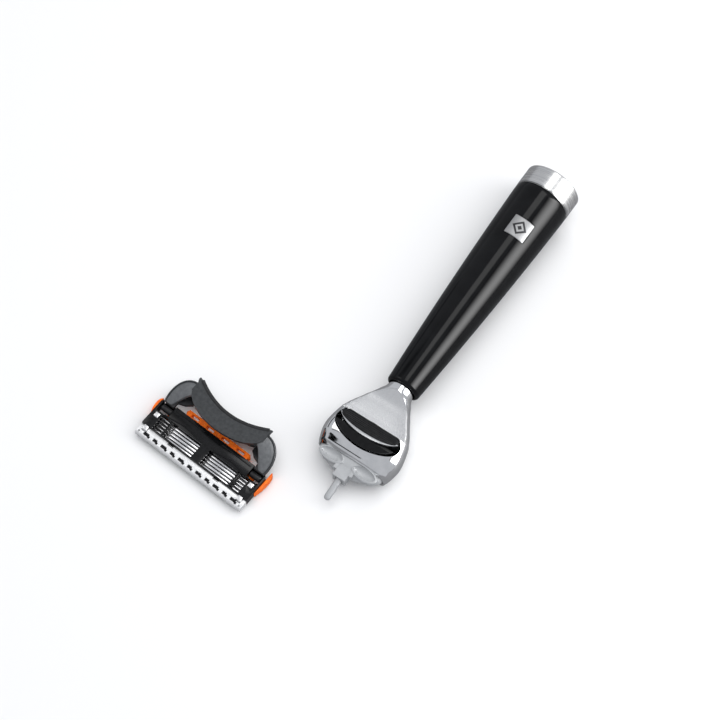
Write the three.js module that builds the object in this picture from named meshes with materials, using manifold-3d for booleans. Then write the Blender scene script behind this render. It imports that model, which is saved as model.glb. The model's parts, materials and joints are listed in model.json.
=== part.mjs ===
// A cartridge razor lying on a table: a weighted handle with a push-forward eject button,
// and beside it, back side up, the five-blade cartridge that clicks onto the handle's nose.
//
// Millimetres, +Z up. The handle's long axis runs along Y with the end cap at +Y.
// Handle pieces are drawn with the grip's neck end at y = 0 and the axis at z = 0.
// Cartridge pieces are drawn with the trimmer edge at y = 0 and the table at z = 0.

import * as THREE from 'three';
import { mergeVertices } from 'three/addons/utils/BufferGeometryUtils.js';
import Module from 'manifold-3d';

const wasm = await Module();
wasm.setup();

// ---------------------------------------------------------------- driving sizes

const GAP = 0.3;                 // room left between pieces that touch
const FINE_GAP = 0.12;           // the same between the small stampings of the cartridge

// Grip, cap and the rod that ties them to the head
const GRIP_LENGTH = 78.8;
const GRIP_NECK_RADIUS = 5.6;
const GRIP_END_RADIUS = 9.45;
const GRIP_BULGE = 0.46;         // how far the barrel's side bows out of a straight taper
const GRIP_LIP = 1.0;            // rounding of the barrel's neck end
const NECK_POCKET_DEPTH = 2.6;
const CAP_LENGTH = 7.4;
const CAP_CHAMFER = 0.45;
const CAP_SPIGOT_RADIUS = 5.0;
const CAP_SPIGOT_LENGTH = 4.4;
const SEAL_THICKNESS = 0.8;
const ROD_RADIUS = 2.0;
const ROD_IN_HEAD = 8.5;
const ROD_IN_CAP = 3.4;
const BADGE_SIZE = 7.0;
const BADGE_DEPTH = 0.7;
const BADGE_FROM_CAP = 15.7;     // badge centre to the barrel's cap end
const BADGE_TURN = THREE.MathUtils.degToRad(10);  // its middle is this far round from the top

// Docking nose: everything on the head that takes the cartridge follows these
const NOSE_WIDTH = 22.6;
const NOSE_HEIGHT = 6.0;
const NOSE_REACH = 5.2;          // how far the nose domes out of the head
const NOSE_DROP = 4.0;           // nose centre below the handle's axis
const NOSE_PLUG = 2.8;           // how far its plug goes back into the head
const BOSS_WIDTH = 4.4;
const BOSS_HEIGHT = 3.6;
const BOSS_REACH = 2.0;          // the boss round the plunger stands this far off the nose

// Head
const HEAD_LENGTH = 27.5;
const HEAD_FLANK = 2.3;          // metal beside the nose at the widest place, each side
const HEAD_TOP = 4.9;            // crown above the handle's axis
const NECK_RADIUS = 4.3;
const SCOOP_MARGIN = 1.3;        // width of the ridge beside the thumb scoop
const SCOOP_DEPTH = 1.5;
const SCOOP_START = 2.4;         // rear tip of the scoop, from the neck
const SCOOP_EASE = 6.0;          // length over which it comes to its full depth
const SCOOP_RIM_DROP = 1.1;      // its side edges below the crown of the head

// Eject button
const BUTTON_REAR = 14.8;        // straight rear edge of its opening, from the neck
const OPENING_HALF_WIDTH = 11.4;
const OPENING_HALF_DEPTH = 5.9;
const BUTTON_TRAVEL = 3.0;
const BUTTON_CROWN = 5.2;        // highest edge of the button above the axis
const PAD_THICKNESS = 0.6;
const RIM_WIDTH = 1.0;
const RIM_BOW = 3.6;             // the silver rim's ends stand this far behind its middle
const RIM_INSET = 0.5;           // its outer edge in from the opening
const RIM_PROUD = 0.25;          // it stands this far above the pad
const RIM_FROM_FRONT = 3.2;      // its middle behind the button's front edge
const PAD_SLOPE = 0.3;           // the pad rises this much for each millimetre forward
const PAD_BORDER = 1.2;          // plain pad behind the first groove
const PAD_GROOVE_END = 2.2;      // the grooves stop this far in from the opening
const PAD_PITCH = 0.62;
const PAD_GROOVE = 0.24;
const PAD_GROOVE_DEPTH = 0.22;
const TONGUE_WIDTH = 2.2;
const TONGUE_HEIGHT = 1.2;

// Plunger and its spring share one tilted line; the button slides along the same slope
const SLOPE = THREE.MathUtils.degToRad(12);
const PLUNGER_RADIUS = 1.1;
const COLLAR_RADIUS = 1.7;
const PLUNGER_PROTRUSION = 6.0;  // tip beyond the boss
const SPRING_LENGTH = 7.6;
const SPRING_TURNS = 4.5;
const SPRING_WIRE = 0.4;
const SPRING_RADIUS = 1.35;
const SEAT_RADIUS = 2.05;
const SEAT_THICKNESS = 1.0;      // the wall behind the spring
const TONGUE_SETBACK = 2.6;      // the pushing tongues stop this far short of the nose's tip

// Cartridge
const CARTRIDGE_LENGTH = 41.6;
const HOUSING_DEPTH = 13.3;
const HOUSING_TOP = 4.3;
const HOUSING_FLOOR = 1.0;
const CENTRE_BAR = 3.2;
const WINDOW_END = 3.6;          // solid end of the housing beyond each window
const WINDOW_FRONT = 3.3;
const BLADE_COUNT = 5;
const BLADE_PITCH = 1.08;
const BLADE_TRAVEL = 0.4;
const BLADE_STOCK = 0.28;
const BLADE_FOOT = 0.42;         // the bent foot that carries the edge reaches this far forward
const EDGE_STOCK = 0.16;
const CLIP_WIDTH = 1.6;
const CLIP_INSET = 2.1;          // clip's middle in from the housing's end
const CLIP_STOCK = 0.35;
const CARRIER_DEPTH = 3.6;
const GUARD_LENGTH = 24.0;
const GUARD_OVERHANG = 1.93;     // the ladder rail stands out past the housing
const GUARD_LOW = 0.1;           // its skin side above the table
const RAIL_TOP = 3.7;
const WING_TOP = 3.6;
const RAIL_SLOTS = 4;
const RAIL_SLOT_LENGTH = 3.0;
const RAIL_EDGE = 0.6;
const FIN_PITCH = 0.8;
const FIN_GROOVE = 0.3;
const WING_REACH = 1.1;          // the end wings stand this far past the housing's ends
const STRIP_TOP = 1.1;
const CARRIER_FLOOR = 1.6;
const CARRIER_NOSE = 0.6;        // the trimmer edge is rounded over this much
const CARRIER_LAP = 0.8;         // the housing's step stops this far behind the carrier's back
const NOTCH_LENGTH = 1.4;
const NOTCH_DEPTH = 0.5;
const TRIMMER_STOCK = 0.25;
const TRIMMER_PITCH = 1.0;
const TRIMMER_SLOT = 0.4;
const CLIP_PROUD = 0.3;          // the clip's bent ends stand this far above the housing
const HOUSING_CORNER = 1.2;

// Yoke
const YOKE_WALL = 1.2;
const ARM_STOCK = 1.6;
const FOOT_RADIUS = 2.0;
const FOOT_LENGTH = 4.0;
const PLATE_BOW = 7.2;           // the receiver's top plate reaches this far towards the housing
const FLOOR_BOW = 3.4;           // and its floor this far
const PIVOT_FROM_BACK = 2.3;     // pivot line in from the housing's guard edge
const PIVOT_HEIGHT = 3.0;
const RECEIVER_CLEAR = 0.35;     // room round the nose inside the receiver
const HORN_REACH = 4.2;          // each horn stands this far past the middle of the saddle
const SADDLE_FROM_BACK = 6.2;    // middle of the saddle behind the housing's guard edge

// Where the loose cartridge lies beside the head
const CARTRIDGE_ASIDE = 40.56;   // cartridge middle to the handle's axis, along X
const CARTRIDGE_AHEAD = 56.4;    // its trimmer edge in front of the grip's neck end
const CARTRIDGE_TURN = THREE.MathUtils.degToRad(-4.4);

// ---------------------------------------------------------------- sizes that follow

const AXIS_HEIGHT = GRIP_END_RADIUS;
const HEAD_DEPTH = AXIS_HEIGHT;
const HEAD_WIDTH = NOSE_WIDTH + 2 * HEAD_FLANK;
const ROD_BORE = ROD_RADIUS + GAP;
const CAVITY_REAR = BUTTON_REAR - 1.2;
const NOSE_BASE = HEAD_LENGTH - 0.3;
const BOSS_END = NOSE_BASE + NOSE_REACH + BOSS_REACH;
const OPENING_MIDDLE = BUTTON_REAR + 0.644 * OPENING_HALF_DEPTH;
const LINE_DROP = NOSE_DROP - 0.1;        // the plunger's line below the axis at the boss
const COLLAR_AT = NOSE_BASE - NOSE_PLUG - GAP;
const HALF = CARTRIDGE_LENGTH / 2;
const PIVOT_Y = HOUSING_DEPTH - PIVOT_FROM_BACK;
const NOSE_Z = AXIS_HEIGHT - NOSE_DROP;   // nose centre above the table

// ---------------------------------------------------------------- solids

function solid(geometry) {
  const plain = geometry.clone();
  plain.deleteAttribute('normal');
  plain.deleteAttribute('uv');
  const merged = mergeVertices(plain, 1e-4);
  const corners = new Float32Array(merged.attributes.position.array);
  const triangles = new Uint32Array(merged.index.array);
  if (signedVolume(corners, triangles) < 0) triangles.reverse();
  return new wasm.Manifold(new wasm.Mesh({
    numProp: 3, vertProperties: corners, triVerts: triangles,
  }));
}

// Negative when the triangles wind inwards
function signedVolume(corners, triangles) {
  const [a, b, c] = [0, 1, 2].map(() => new THREE.Vector3());
  let sum = 0;
  for (let i = 0; i < triangles.length; i += 3) {
    a.fromArray(corners, 3 * triangles[i]);
    b.fromArray(corners, 3 * triangles[i + 1]);
    c.fromArray(corners, 3 * triangles[i + 2]);
    sum += a.dot(b.cross(c)) / 6;
  }
  return sum;
}

function geometryOf(body) {
  const mesh = body.getMesh();
  const geometry = new THREE.BufferGeometry();
  geometry.setAttribute('position', new THREE.BufferAttribute(mesh.vertProperties, 3));
  geometry.setIndex(new THREE.BufferAttribute(mesh.triVerts, 1));
  const faceted = geometry.toNonIndexed();
  faceted.computeVertexNormals();
  return faceted;
}

// A block between two corners, given as [x0, x1], [y0, y1], [z0, z1]
function block([x0, x1], [y0, y1], [z0, z1]) {
  const geometry = new THREE.BoxGeometry(x1 - x0, y1 - y0, z1 - z0);
  return solid(geometry.translate((x0 + x1) / 2, (y0 + y1) / 2, (z0 + z1) / 2));
}

// A turned body along Y from a closed (radius, y) outline
function turned(outline, segments = 48) {
  const points = outline.map(([r, y]) => new THREE.Vector2(r, y));
  points.push(points[0].clone());
  return solid(new THREE.LatheGeometry(points, segments));
}

// A plain rod between two points
function rod(from, to, radius, segments = 24) {
  const start = new THREE.Vector3(...from);
  const along = new THREE.Vector3(...to).sub(start);
  const geometry = new THREE.CylinderGeometry(radius, radius, along.length(), segments);
  const turn = new THREE.Quaternion().setFromUnitVectors(
    new THREE.Vector3(0, 1, 0), along.clone().normalize());
  geometry.applyQuaternion(turn);
  geometry.translate(...start.addScaledVector(along, 0.5).toArray());
  return solid(geometry);
}

// A plan outline of (x, y) points raised from one height to another
function raised(points, z0, z1) {
  const shape = new THREE.Shape(points.map(([x, y]) => new THREE.Vector2(x, y)));
  const geometry = new THREE.ExtrudeGeometry(shape, { depth: z1 - z0, bevelEnabled: false });
  return solid(geometry.translate(0, 0, z0));
}

// A side outline of (y, z) points drawn out from x0 to x1
function drawnOut(points, x0, x1) {
  const shape = new THREE.Shape(points.map(([y, z]) => new THREE.Vector2(y, z)));
  const geometry = new THREE.ExtrudeGeometry(shape, { depth: x1 - x0, bevelEnabled: false });
  geometry.applyMatrix4(new THREE.Matrix4().makeBasis(
    new THREE.Vector3(0, 1, 0), new THREE.Vector3(0, 0, 1), new THREE.Vector3(1, 0, 0)));
  return solid(geometry.translate(x0, 0, 0));
}

function egg(centre, radii, segments = 32) {
  const geometry = new THREE.SphereGeometry(1, segments, segments / 2);
  return solid(geometry.scale(...radii).translate(...centre));
}

// A skin through rings of points, closed with a flat fan at both ends
function loft(rings) {
  const count = rings[0].length;
  const positions = rings.flat(2);
  const middles = [rings[0], rings.at(-1)].map((ring) => [0, 1, 2].map(
    (axis) => ring.reduce((sum, point) => sum + point[axis], 0) / count));
  positions.push(...middles[0], ...middles[1]);
  const first = rings.length * count;
  const index = [];
  for (let i = 0; i < count; i++) {
    const next = (i + 1) % count;
    for (let ring = 0; ring < rings.length - 1; ring++) {
      const a = ring * count + i;
      const b = ring * count + next;
      index.push(a, b, b + count, a, b + count, a + count);
    }
    index.push(first, next, i);
    const end = (rings.length - 1) * count;
    index.push(first + 1, end + i, end + next);
  }
  const geometry = new THREE.BufferGeometry();
  geometry.setAttribute('position', new THREE.Float32BufferAttribute(positions, 3));
  geometry.setIndex(index);
  return solid(geometry);
}

// A rounded section across the handle: half width, top, bottom and squareness
function section(y, halfWidth, top, bottom, power, steps = 40) {
  const middle = (top - bottom) / 2;
  const half = (top + bottom) / 2;
  const soften = (value) => Math.sign(value) * Math.abs(value) ** (2 / power);
  return Array.from({ length: steps }, (_, i) => {
    const angle = (2 * Math.PI * i) / steps;
    return [halfWidth * soften(Math.cos(angle)), y, middle + half * soften(Math.sin(angle))];
  });
}

// Points of an ellipse, or of the arc of one, in plan
function ellipse(cx, cy, rx, ry, from = 0, to = 2 * Math.PI, steps = 40) {
  const closed = to - from > 2 * Math.PI - 1e-6;
  const count = closed ? steps : steps + 1;
  return Array.from({ length: count }, (_, i) => {
    const angle = from + ((to - from) * i) / steps;
    return [cx + rx * Math.cos(angle), cy + ry * Math.sin(angle)];
  });
}

function finish(colour, roughness, metalness) {
  return new THREE.MeshStandardMaterial({ color: colour, roughness, metalness });
}

const FINISHES = {
  resin: () => finish(0x0b0b0d, 0.12, 0),
  steel: () => finish(0xc9cac8, 0.3, 1),
  chrome: () => finish(0xd8d9da, 0.08, 1),
  greyPlastic: () => finish(0xa9abad, 0.35, 0),
  blackPlastic: () => finish(0x101113, 0.4, 0),
  darkPlastic: () => finish(0x3c4043, 0.45, 0),
  rubber: () => finish(0x1b1d1f, 0.8, 0),
  silverPaint: () => finish(0xb9babb, 0.35, 0.7),
  orange: () => finish(0xf0641a, 0.5, 0),
  aluminium: () => finish(0xe3e4e4, 0.25, 1),
  green: () => finish(0xcfd8cf, 0.6, 0),
};

const razor = new THREE.Group();
const handle = new THREE.Group();
handle.position.set(0, 0, AXIS_HEIGHT);
razor.add(handle);
const cartridge = new THREE.Group();
cartridge.position.set(-CARTRIDGE_ASIDE, -CARTRIDGE_AHEAD, 0);
cartridge.rotation.z = CARTRIDGE_TURN;
razor.add(cartridge);

function piece(parent, name, body, material) {
  const mesh = new THREE.Mesh(geometryOf(body), material());
  mesh.name = name;
  parent.add(mesh);
}

// ---------------------------------------------------------------- grip and end cap

function gripRadius(y) {
  const s = y / GRIP_LENGTH;
  return GRIP_NECK_RADIUS + (GRIP_END_RADIUS - GRIP_NECK_RADIUS) * s + 4 * GRIP_BULGE * s * (1 - s);
}

function gripSide(start, steps) {
  return Array.from({ length: steps + 1 }, (_, i) => {
    const y = start + ((GRIP_LENGTH - start) * i) / steps;
    return [gripRadius(y), y];
  });
}

function neckLip() {
  const top = gripRadius(GRIP_LIP);
  return [0, 1, 2, 3].map((i) => {
    const angle = (Math.PI / 2) * (i / 4);
    return [top - GRIP_LIP + GRIP_LIP * Math.sin(angle), GRIP_LIP - GRIP_LIP * Math.cos(angle)];
  });
}

const BADGE_Y = GRIP_LENGTH - BADGE_FROM_CAP;
const CAP_POCKET_DEPTH = CAP_SPIGOT_LENGTH + SEAL_THICKNESS + GAP;

function badgeBox(spare, depth) {
  const half = BADGE_SIZE / 2 + spare;
  const floor = Math.sqrt(gripRadius(BADGE_Y - half) ** 2 - half ** 2) - depth;
  const height = 2 * GRIP_END_RADIUS - floor;
  const geometry = new THREE.BoxGeometry(2 * half, 2 * half, height);
  return solid(geometry.translate(0, BADGE_Y, floor + height / 2).rotateY(BADGE_TURN));
}

function gripBarrel() {
  const pocket = NECK_RADIUS + GAP;
  const capPocket = CAP_SPIGOT_RADIUS + GAP;
  const body = turned([
    [ROD_BORE, NECK_POCKET_DEPTH],
    [pocket, NECK_POCKET_DEPTH],
    [pocket, 0.2],
    ...neckLip(),
    ...gripSide(GRIP_LIP, 12),
    [capPocket, GRIP_LENGTH],
    [capPocket, GRIP_LENGTH - CAP_POCKET_DEPTH],
    [ROD_BORE, GRIP_LENGTH - CAP_POCKET_DEPTH],
  ], 56);
  return body.subtract(badgeBox(GAP, BADGE_DEPTH));
}

function badgePlate() {
  const side = gripSide(GRIP_LIP, 12).map(([r, y]) => [r + 0.05, y]);
  const skin = turned([[1, GRIP_LIP], ...side, [1, GRIP_LENGTH]], 56);
  return skin.intersect(badgeBox(0, BADGE_DEPTH - GAP));
}

function endCap() {
  const face = GRIP_LENGTH + GAP;
  const end = GRIP_LENGTH + CAP_LENGTH;
  const bore = ROD_IN_CAP + GRIP_LENGTH + 2 * GAP;
  const rim = GRIP_END_RADIUS;
  return turned([
    [0, end], [rim - CAP_CHAMFER, end], [rim, end - CAP_CHAMFER],
    [rim, face + 0.2], [rim - 0.2, face], [CAP_SPIGOT_RADIUS, face],
    [CAP_SPIGOT_RADIUS, GRIP_LENGTH - CAP_SPIGOT_LENGTH],
    [ROD_BORE, GRIP_LENGTH - CAP_SPIGOT_LENGTH], [ROD_BORE, bore], [0, bore],
  ], 56);
}

function sealRing(outer, y0, y1) {
  return turned([[ROD_BORE + 0.1, y0], [outer, y0], [outer, y1], [ROD_BORE + 0.1, y1]], 32);
}

piece(handle, 'grip_barrel', gripBarrel(), FINISHES.resin);
piece(handle, 'badge_plate', badgePlate(), FINISHES.steel);
piece(handle, 'end_cap', endCap(), FINISHES.steel);
piece(handle, 'cap_seal', sealRing(CAP_SPIGOT_RADIUS,
  GRIP_LENGTH - CAP_POCKET_DEPTH + 0.1, GRIP_LENGTH - CAP_SPIGOT_LENGTH - 0.1), FINISHES.rubber);
piece(handle, 'neck_seal', sealRing(NECK_RADIUS,
  NECK_POCKET_DEPTH - 0.1 - SEAL_THICKNESS, NECK_POCKET_DEPTH - 0.1), FINISHES.rubber);
piece(handle, 'tie_rod', rod([0, -ROD_IN_HEAD, 0], [0, GRIP_LENGTH + ROD_IN_CAP, 0], ROD_RADIUS),
  FINISHES.steel);

// ---------------------------------------------------------------- head

// Along the head from neck to front rim: share of length, width, crown, depth, and squareness
const HEAD_STATIONS = [
  [0.06, 0.338, 0.92, 0.476, 2.0],
  [0.13, 0.419, 0.96, 0.52, 2.1],
  [0.275, 0.596, 1.0, 0.62, 2.3],
  [0.487, 0.853, 0.96, 0.81, 2.6],
  [0.618, 0.949, 0.88, 0.91, 2.8],
  [0.771, 1.0, 0.76, 0.985, 2.8],
  [0.873, 0.978, 0.63, 1.0, 2.7],
  [0.964, 0.926, 0.2, 0.97, 2.5],
  [1.0, 0.885, -0.1, 0.94, 2.4],
];

const across = new THREE.CatmullRomCurve3(HEAD_STATIONS.map(
  ([at, width, , , power]) => new THREE.Vector3(at * HEAD_LENGTH, (width * HEAD_WIDTH) / 2, power)),
false, 'catmullrom', 0.5);
const upright = new THREE.CatmullRomCurve3(HEAD_STATIONS.map(
  ([at, , top, bottom]) => new THREE.Vector3(at * HEAD_LENGTH, top * HEAD_TOP, bottom * HEAD_DEPTH)),
false, 'catmullrom', 0.5);

function headAt(share) {
  const wide = across.getPoint(share);
  const tall = upright.getPoint(share);
  return { y: -wide.x, halfWidth: wide.y, power: wide.z, top: tall.y, bottom: tall.z };
}

function headSkin(steps = 22) {
  const neck = [NECK_POCKET_DEPTH - SEAL_THICKNESS - 2 * GAP, -0.2].map(
    (y) => section(y, NECK_RADIUS, NECK_RADIUS, NECK_RADIUS, 2));
  const rings = Array.from({ length: steps + 1 }, (_, i) => {
    const at = headAt(i / steps);
    return section(at.y, at.halfWidth, at.top, at.bottom, at.power);
  });
  return loft([...neck, ...rings]);
}

// The thumb scoop: a dished cut that leaves an even ridge along both sides
function scoopCutter(steps = 12) {
  const rings = [];
  for (let i = 0; i <= 2 * steps; i++) {
    const at = headAt((i / (2 * steps)) * 0.66);
    const half = at.halfWidth - SCOOP_MARGIN - 0.25 * (1 - Math.min(1, i / 4)) * at.halfWidth;
    if (-at.y > BUTTON_REAR + 0.5 || -at.y < SCOOP_START) continue;
    const reach = Math.min(1, (-at.y - SCOOP_START + 0.4) / SCOOP_EASE);
    const rim = at.top - SCOOP_RIM_DROP * reach;
    const floor = at.top - 0.2 - SCOOP_DEPTH * reach;
    const dish = Array.from({ length: steps + 1 }, (_, k) => {
      const x = -1 + (2 * k) / steps;
      return [x * half, at.y, floor + (rim - floor) * x * x];
    });
    rings.push([[half, at.y, 2 * HEAD_TOP], [-half, at.y, 2 * HEAD_TOP], ...dish]);
  }
  return loft(rings);
}

function openingOutline(inset, shift = 0) {
  const rear = -BUTTON_REAR - inset + shift;
  const full = ellipse(0, -OPENING_MIDDLE + shift,
    OPENING_HALF_WIDTH - inset, OPENING_HALF_DEPTH - inset, 0, 2 * Math.PI, 64);
  return full.map(([x, y]) => [x, Math.min(y, rear)]);
}

// The room inside the head: as wide and high as the nose's plug, so that it closes the front
function noseSection(y, spare) {
  return section(y, NOSE_WIDTH / 2 + spare, NOSE_HEIGHT / 2 - NOSE_DROP + spare,
    NOSE_HEIGHT / 2 + NOSE_DROP + spare, 2.6);
}

// A point on the plunger's line, a distance y ahead of the grip's neck end
function linePoint(y) {
  return [0, -y, -LINE_DROP + (BOSS_END - y) * Math.tan(SLOPE)];
}

function headShell() {
  const room = loft([noseSection(-HEAD_LENGTH - 1, GAP), noseSection(-CAVITY_REAR, GAP)]);
  const opening = raised(openingOutline(0), -NOSE_DROP, 2 * HEAD_TOP);
  const seatRoom = rod(linePoint(CAVITY_REAR), linePoint(COLLAR_AT + 0.6), SEAT_RADIUS + 0.5);
  const shaftRoom = rod(linePoint(COLLAR_AT), linePoint(HEAD_LENGTH + 2), PLUNGER_RADIUS + GAP);
  const bore = rod([0, 4, 0], [0, -ROD_IN_HEAD - GAP, 0], ROD_BORE);
  return headSkin().subtract(scoopCutter()).subtract(room).subtract(opening)
    .subtract(seatRoom).subtract(shaftRoom).subtract(bore);
}

piece(handle, 'head_shell', headShell(), FINISHES.chrome);

// ---------------------------------------------------------------- docking nose

const TONGUE_X = 0.29 * NOSE_WIDTH;
const TONGUE_Z = -NOSE_DROP - 1.3;         // underside of the tongues where the nose begins
const RISE = Math.tan(SLOPE);

// Underside of the sliding tongues, a distance y ahead of the grip's neck end
function deck(y) {
  return TONGUE_Z + (NOSE_BASE - y) * RISE;
}

function tongue(x0, x1, from, to, spare = 0) {
  return drawnOut([
    [-from, deck(from) - spare], [-to, deck(to) - spare],
    [-to, deck(to) + TONGUE_HEIGHT + spare], [-from, deck(from) + TONGUE_HEIGHT + spare],
  ], x0, x1);
}

function tongueSlot(side, spare) {
  const x = side * TONGUE_X;
  const half = TONGUE_WIDTH / 2 + spare;
  return tongue(x - half, x + half, NOSE_BASE - NOSE_PLUG - 2, NOSE_BASE + NOSE_REACH + 2, spare);
}

function dockingFrame() {
  const plug = loft([noseSection(-NOSE_BASE, 0), noseSection(-NOSE_BASE + NOSE_PLUG, 0)]);
  const dome = egg([0, -NOSE_BASE + 0.2, -NOSE_DROP],
    [NOSE_WIDTH / 2 - 0.05, NOSE_REACH + 0.2, NOSE_HEIGHT / 2 - 0.05], 40);
  const ahead = block([-NOSE_WIDTH, NOSE_WIDTH], [-2 * BOSS_END, -NOSE_BASE + 0.5],
    [-NOSE_HEIGHT - NOSE_DROP, NOSE_HEIGHT]);
  const boss = block([-BOSS_WIDTH / 2, BOSS_WIDTH / 2], [-BOSS_END, -NOSE_BASE],
    [-LINE_DROP - BOSS_HEIGHT / 2, -LINE_DROP + BOSS_HEIGHT / 2]);
  let frame = plug.add(dome.intersect(ahead)).add(boss);
  for (const side of [-1, 1]) {
    frame = frame.subtract(egg([side * 0.27 * NOSE_WIDTH, -NOSE_BASE - 0.5 * NOSE_REACH,
      -NOSE_DROP + NOSE_HEIGHT / 2], [4.4, 1.9, 1.0], 24));
    frame = frame.subtract(tongueSlot(side, GAP));
  }
  return frame.subtract(rod(linePoint(COLLAR_AT - 4), linePoint(BOSS_END + 3), PLUNGER_RADIUS + GAP));
}

piece(handle, 'docking_frame', dockingFrame(), FINISHES.greyPlastic);

// ---------------------------------------------------------------- plunger and spring

const ALONG = Math.cos(SLOPE);
const COLLAR_LENGTH = 1.0;
const SPRING_FRONT = COLLAR_AT - COLLAR_LENGTH * ALONG - FINE_GAP;
const SPRING_REAR = SPRING_FRONT - SPRING_LENGTH * ALONG;

function plunger() {
  const tip = BOSS_END + PLUNGER_PROTRUSION * ALONG;
  const shaft = rod(linePoint(COLLAR_AT - 0.4), linePoint(tip), PLUNGER_RADIUS);
  const nub = egg(linePoint(tip), [PLUNGER_RADIUS, PLUNGER_RADIUS, PLUNGER_RADIUS], 16);
  const collar = rod(linePoint(COLLAR_AT - COLLAR_LENGTH * ALONG), linePoint(COLLAR_AT - 0.35),
    COLLAR_RADIUS);
  return shaft.add(nub).add(collar);
}

class Coil extends THREE.Curve {
  getPoint(t, target = new THREE.Vector3()) {
    const angle = 2 * Math.PI * SPRING_TURNS * t;
    const start = new THREE.Vector3(...linePoint(SPRING_REAR + SPRING_WIRE));
    const end = new THREE.Vector3(...linePoint(SPRING_FRONT - SPRING_WIRE));
    const up = new THREE.Vector3(0, -Math.sin(SLOPE), Math.cos(SLOPE));
    target.lerpVectors(start, end, t);
    target.x += SPRING_RADIUS * Math.cos(angle);
    return target.addScaledVector(up, SPRING_RADIUS * Math.sin(angle));
  }
}

function plungerSpring() {
  const wire = new THREE.Shape(ellipse(0, 0, SPRING_WIRE / 2, SPRING_WIRE / 2, 0, 2 * Math.PI, 6)
    .map(([x, y]) => new THREE.Vector2(x, y)));
  return solid(new THREE.ExtrudeGeometry(wire, { steps: 64, extrudePath: new Coil() }));
}

piece(handle, 'plunger', plunger(), FINISHES.greyPlastic);
piece(handle, 'plunger_spring', plungerSpring(), FINISHES.steel);

// ---------------------------------------------------------------- eject button

const LIP_UNDER = 3.3;           // underside of the button's front lip above the axis
const FRONT = OPENING_MIDDLE + OPENING_HALF_DEPTH;
const RIM_AT = FRONT - RIM_FROM_FRONT;
const PAD_REAR_Z = BUTTON_CROWN - PAD_SLOPE * (RIM_AT - BUTTON_REAR);

function padPlane(y) {
  return PAD_REAR_Z + PAD_SLOPE * (y - BUTTON_REAR);
}

// The button's plan: what stays inside its opening both at rest and pushed forward
function stemPlan(inset, z0, z1) {
  return raised(openingOutline(inset), z0, z1)
    .intersect(raised(openingOutline(inset, BUTTON_TRAVEL * ALONG), z0, z1));
}

// The front half of an ellipse in plan, drawn in from the rim's outer edge
function rimArc(inset) {
  return ellipse(0, RIM_BOW - RIM_AT, OPENING_HALF_WIDTH - RIM_INSET - inset, RIM_BOW - inset,
    Math.PI, 2 * Math.PI, 32);
}

function rimBand(z0, z1) {
  return raised([...rimArc(0), ...rimArc(RIM_WIDTH).reverse()], z0, z1);
}

function insideRim(z0, z1) {
  return raised([...rimArc(RIM_WIDTH + FINE_GAP),
    [OPENING_HALF_WIDTH, 0], [-OPENING_HALF_WIDTH, 0]], z0, z1);
}

function slab(under, over, from, to) {
  return drawnOut([
    [-from, padPlane(from) + under], [-to, padPlane(to) + under],
    [-to, padPlane(to) + over], [-from, padPlane(from) + over],
  ], -OPENING_HALF_WIDTH, OPENING_HALF_WIDTH);
}

function ejectButton() {
  const seat = PAD_THICKNESS + FINE_GAP;
  const top = drawnOut([
    [-BUTTON_REAR, -1], [-BUTTON_REAR, padPlane(BUTTON_REAR) - seat],
    [-RIM_AT, padPlane(RIM_AT) - seat], [-RIM_AT - FINE_GAP, BUTTON_CROWN - 0.1],
    [-FRONT, LIP_UNDER + 0.3], [-FRONT, -1],
  ], -OPENING_HALF_WIDTH, OPENING_HALF_WIDTH);
  const overLip = drawnOut([
    [-BUTTON_REAR, LIP_UNDER + (FRONT - BUTTON_REAR) * RISE], [-BUTTON_REAR, 20],
    [-FRONT - 2, 20], [-FRONT - 2, LIP_UNDER - 2 * RISE],
  ], -OPENING_HALF_WIDTH, OPENING_HALF_WIDTH);
  const stem = stemPlan(GAP, -NOSE_DROP, 12).intersect(top);
  const lip = raised(openingOutline(GAP), -NOSE_DROP, 12).intersect(top).intersect(overLip);
  const half = SEAT_RADIUS + GAP;
  const tunnel = rod(linePoint(BUTTON_REAR - 3), linePoint(FRONT + 3), half);
  const below = block([-half, half], [-FRONT - 3, -BUTTON_REAR + 3], [-9, linePoint(FRONT)[2]]);
  return stem.add(lip).subtract(tunnel).subtract(below);
}

function buttonPad() {
  let pad = slab(-PAD_THICKNESS, 0, BUTTON_REAR, RIM_AT)
    .intersect(stemPlan(GAP + 0.5, -1, 12)).intersect(insideRim(-1, 12));
  const reach = OPENING_HALF_WIDTH - PAD_GROOVE_END;
  for (let y = BUTTON_REAR + PAD_BORDER; y < RIM_AT - RIM_WIDTH; y += PAD_PITCH) {
    pad = pad.subtract(block([-reach, reach], [-y - PAD_GROOVE / 2, -y + PAD_GROOVE / 2],
      [padPlane(y) - PAD_GROOVE_DEPTH, padPlane(y) + 1]));
  }
  return pad;
}

function buttonRim() {
  return slab(-PAD_THICKNESS, RIM_PROUD, BUTTON_REAR + 2, RIM_AT)
    .intersect(rimBand(-1, 12)).intersect(stemPlan(GAP, -1, 12));
}

// The slide under the button: a frame round the spring, a seat behind it, two pushing tongues
function ejectorPusher() {
  const rear = SPRING_REAR - FINE_GAP;
  const back = rear - SEAT_THICKNESS;
  const seat = rod(linePoint(rear), linePoint(back), SEAT_RADIUS);
  const post = block([-SEAT_RADIUS, SEAT_RADIUS], [-rear, -back], [deck(rear), linePoint(rear)[2]]);
  const reach = NOSE_BASE + NOSE_REACH - TONGUE_SETBACK;
  let slide = seat.add(post);
  for (const side of [-1, 1]) {
    const x = side * TONGUE_X;
    slide = slide.add(tongue(x - TONGUE_WIDTH / 2, x + TONGUE_WIDTH / 2, back, reach));
    slide = slide.add(tongue(Math.min(0, x), Math.max(0, x), back, rear));
  }
  return slide;
}

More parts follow.
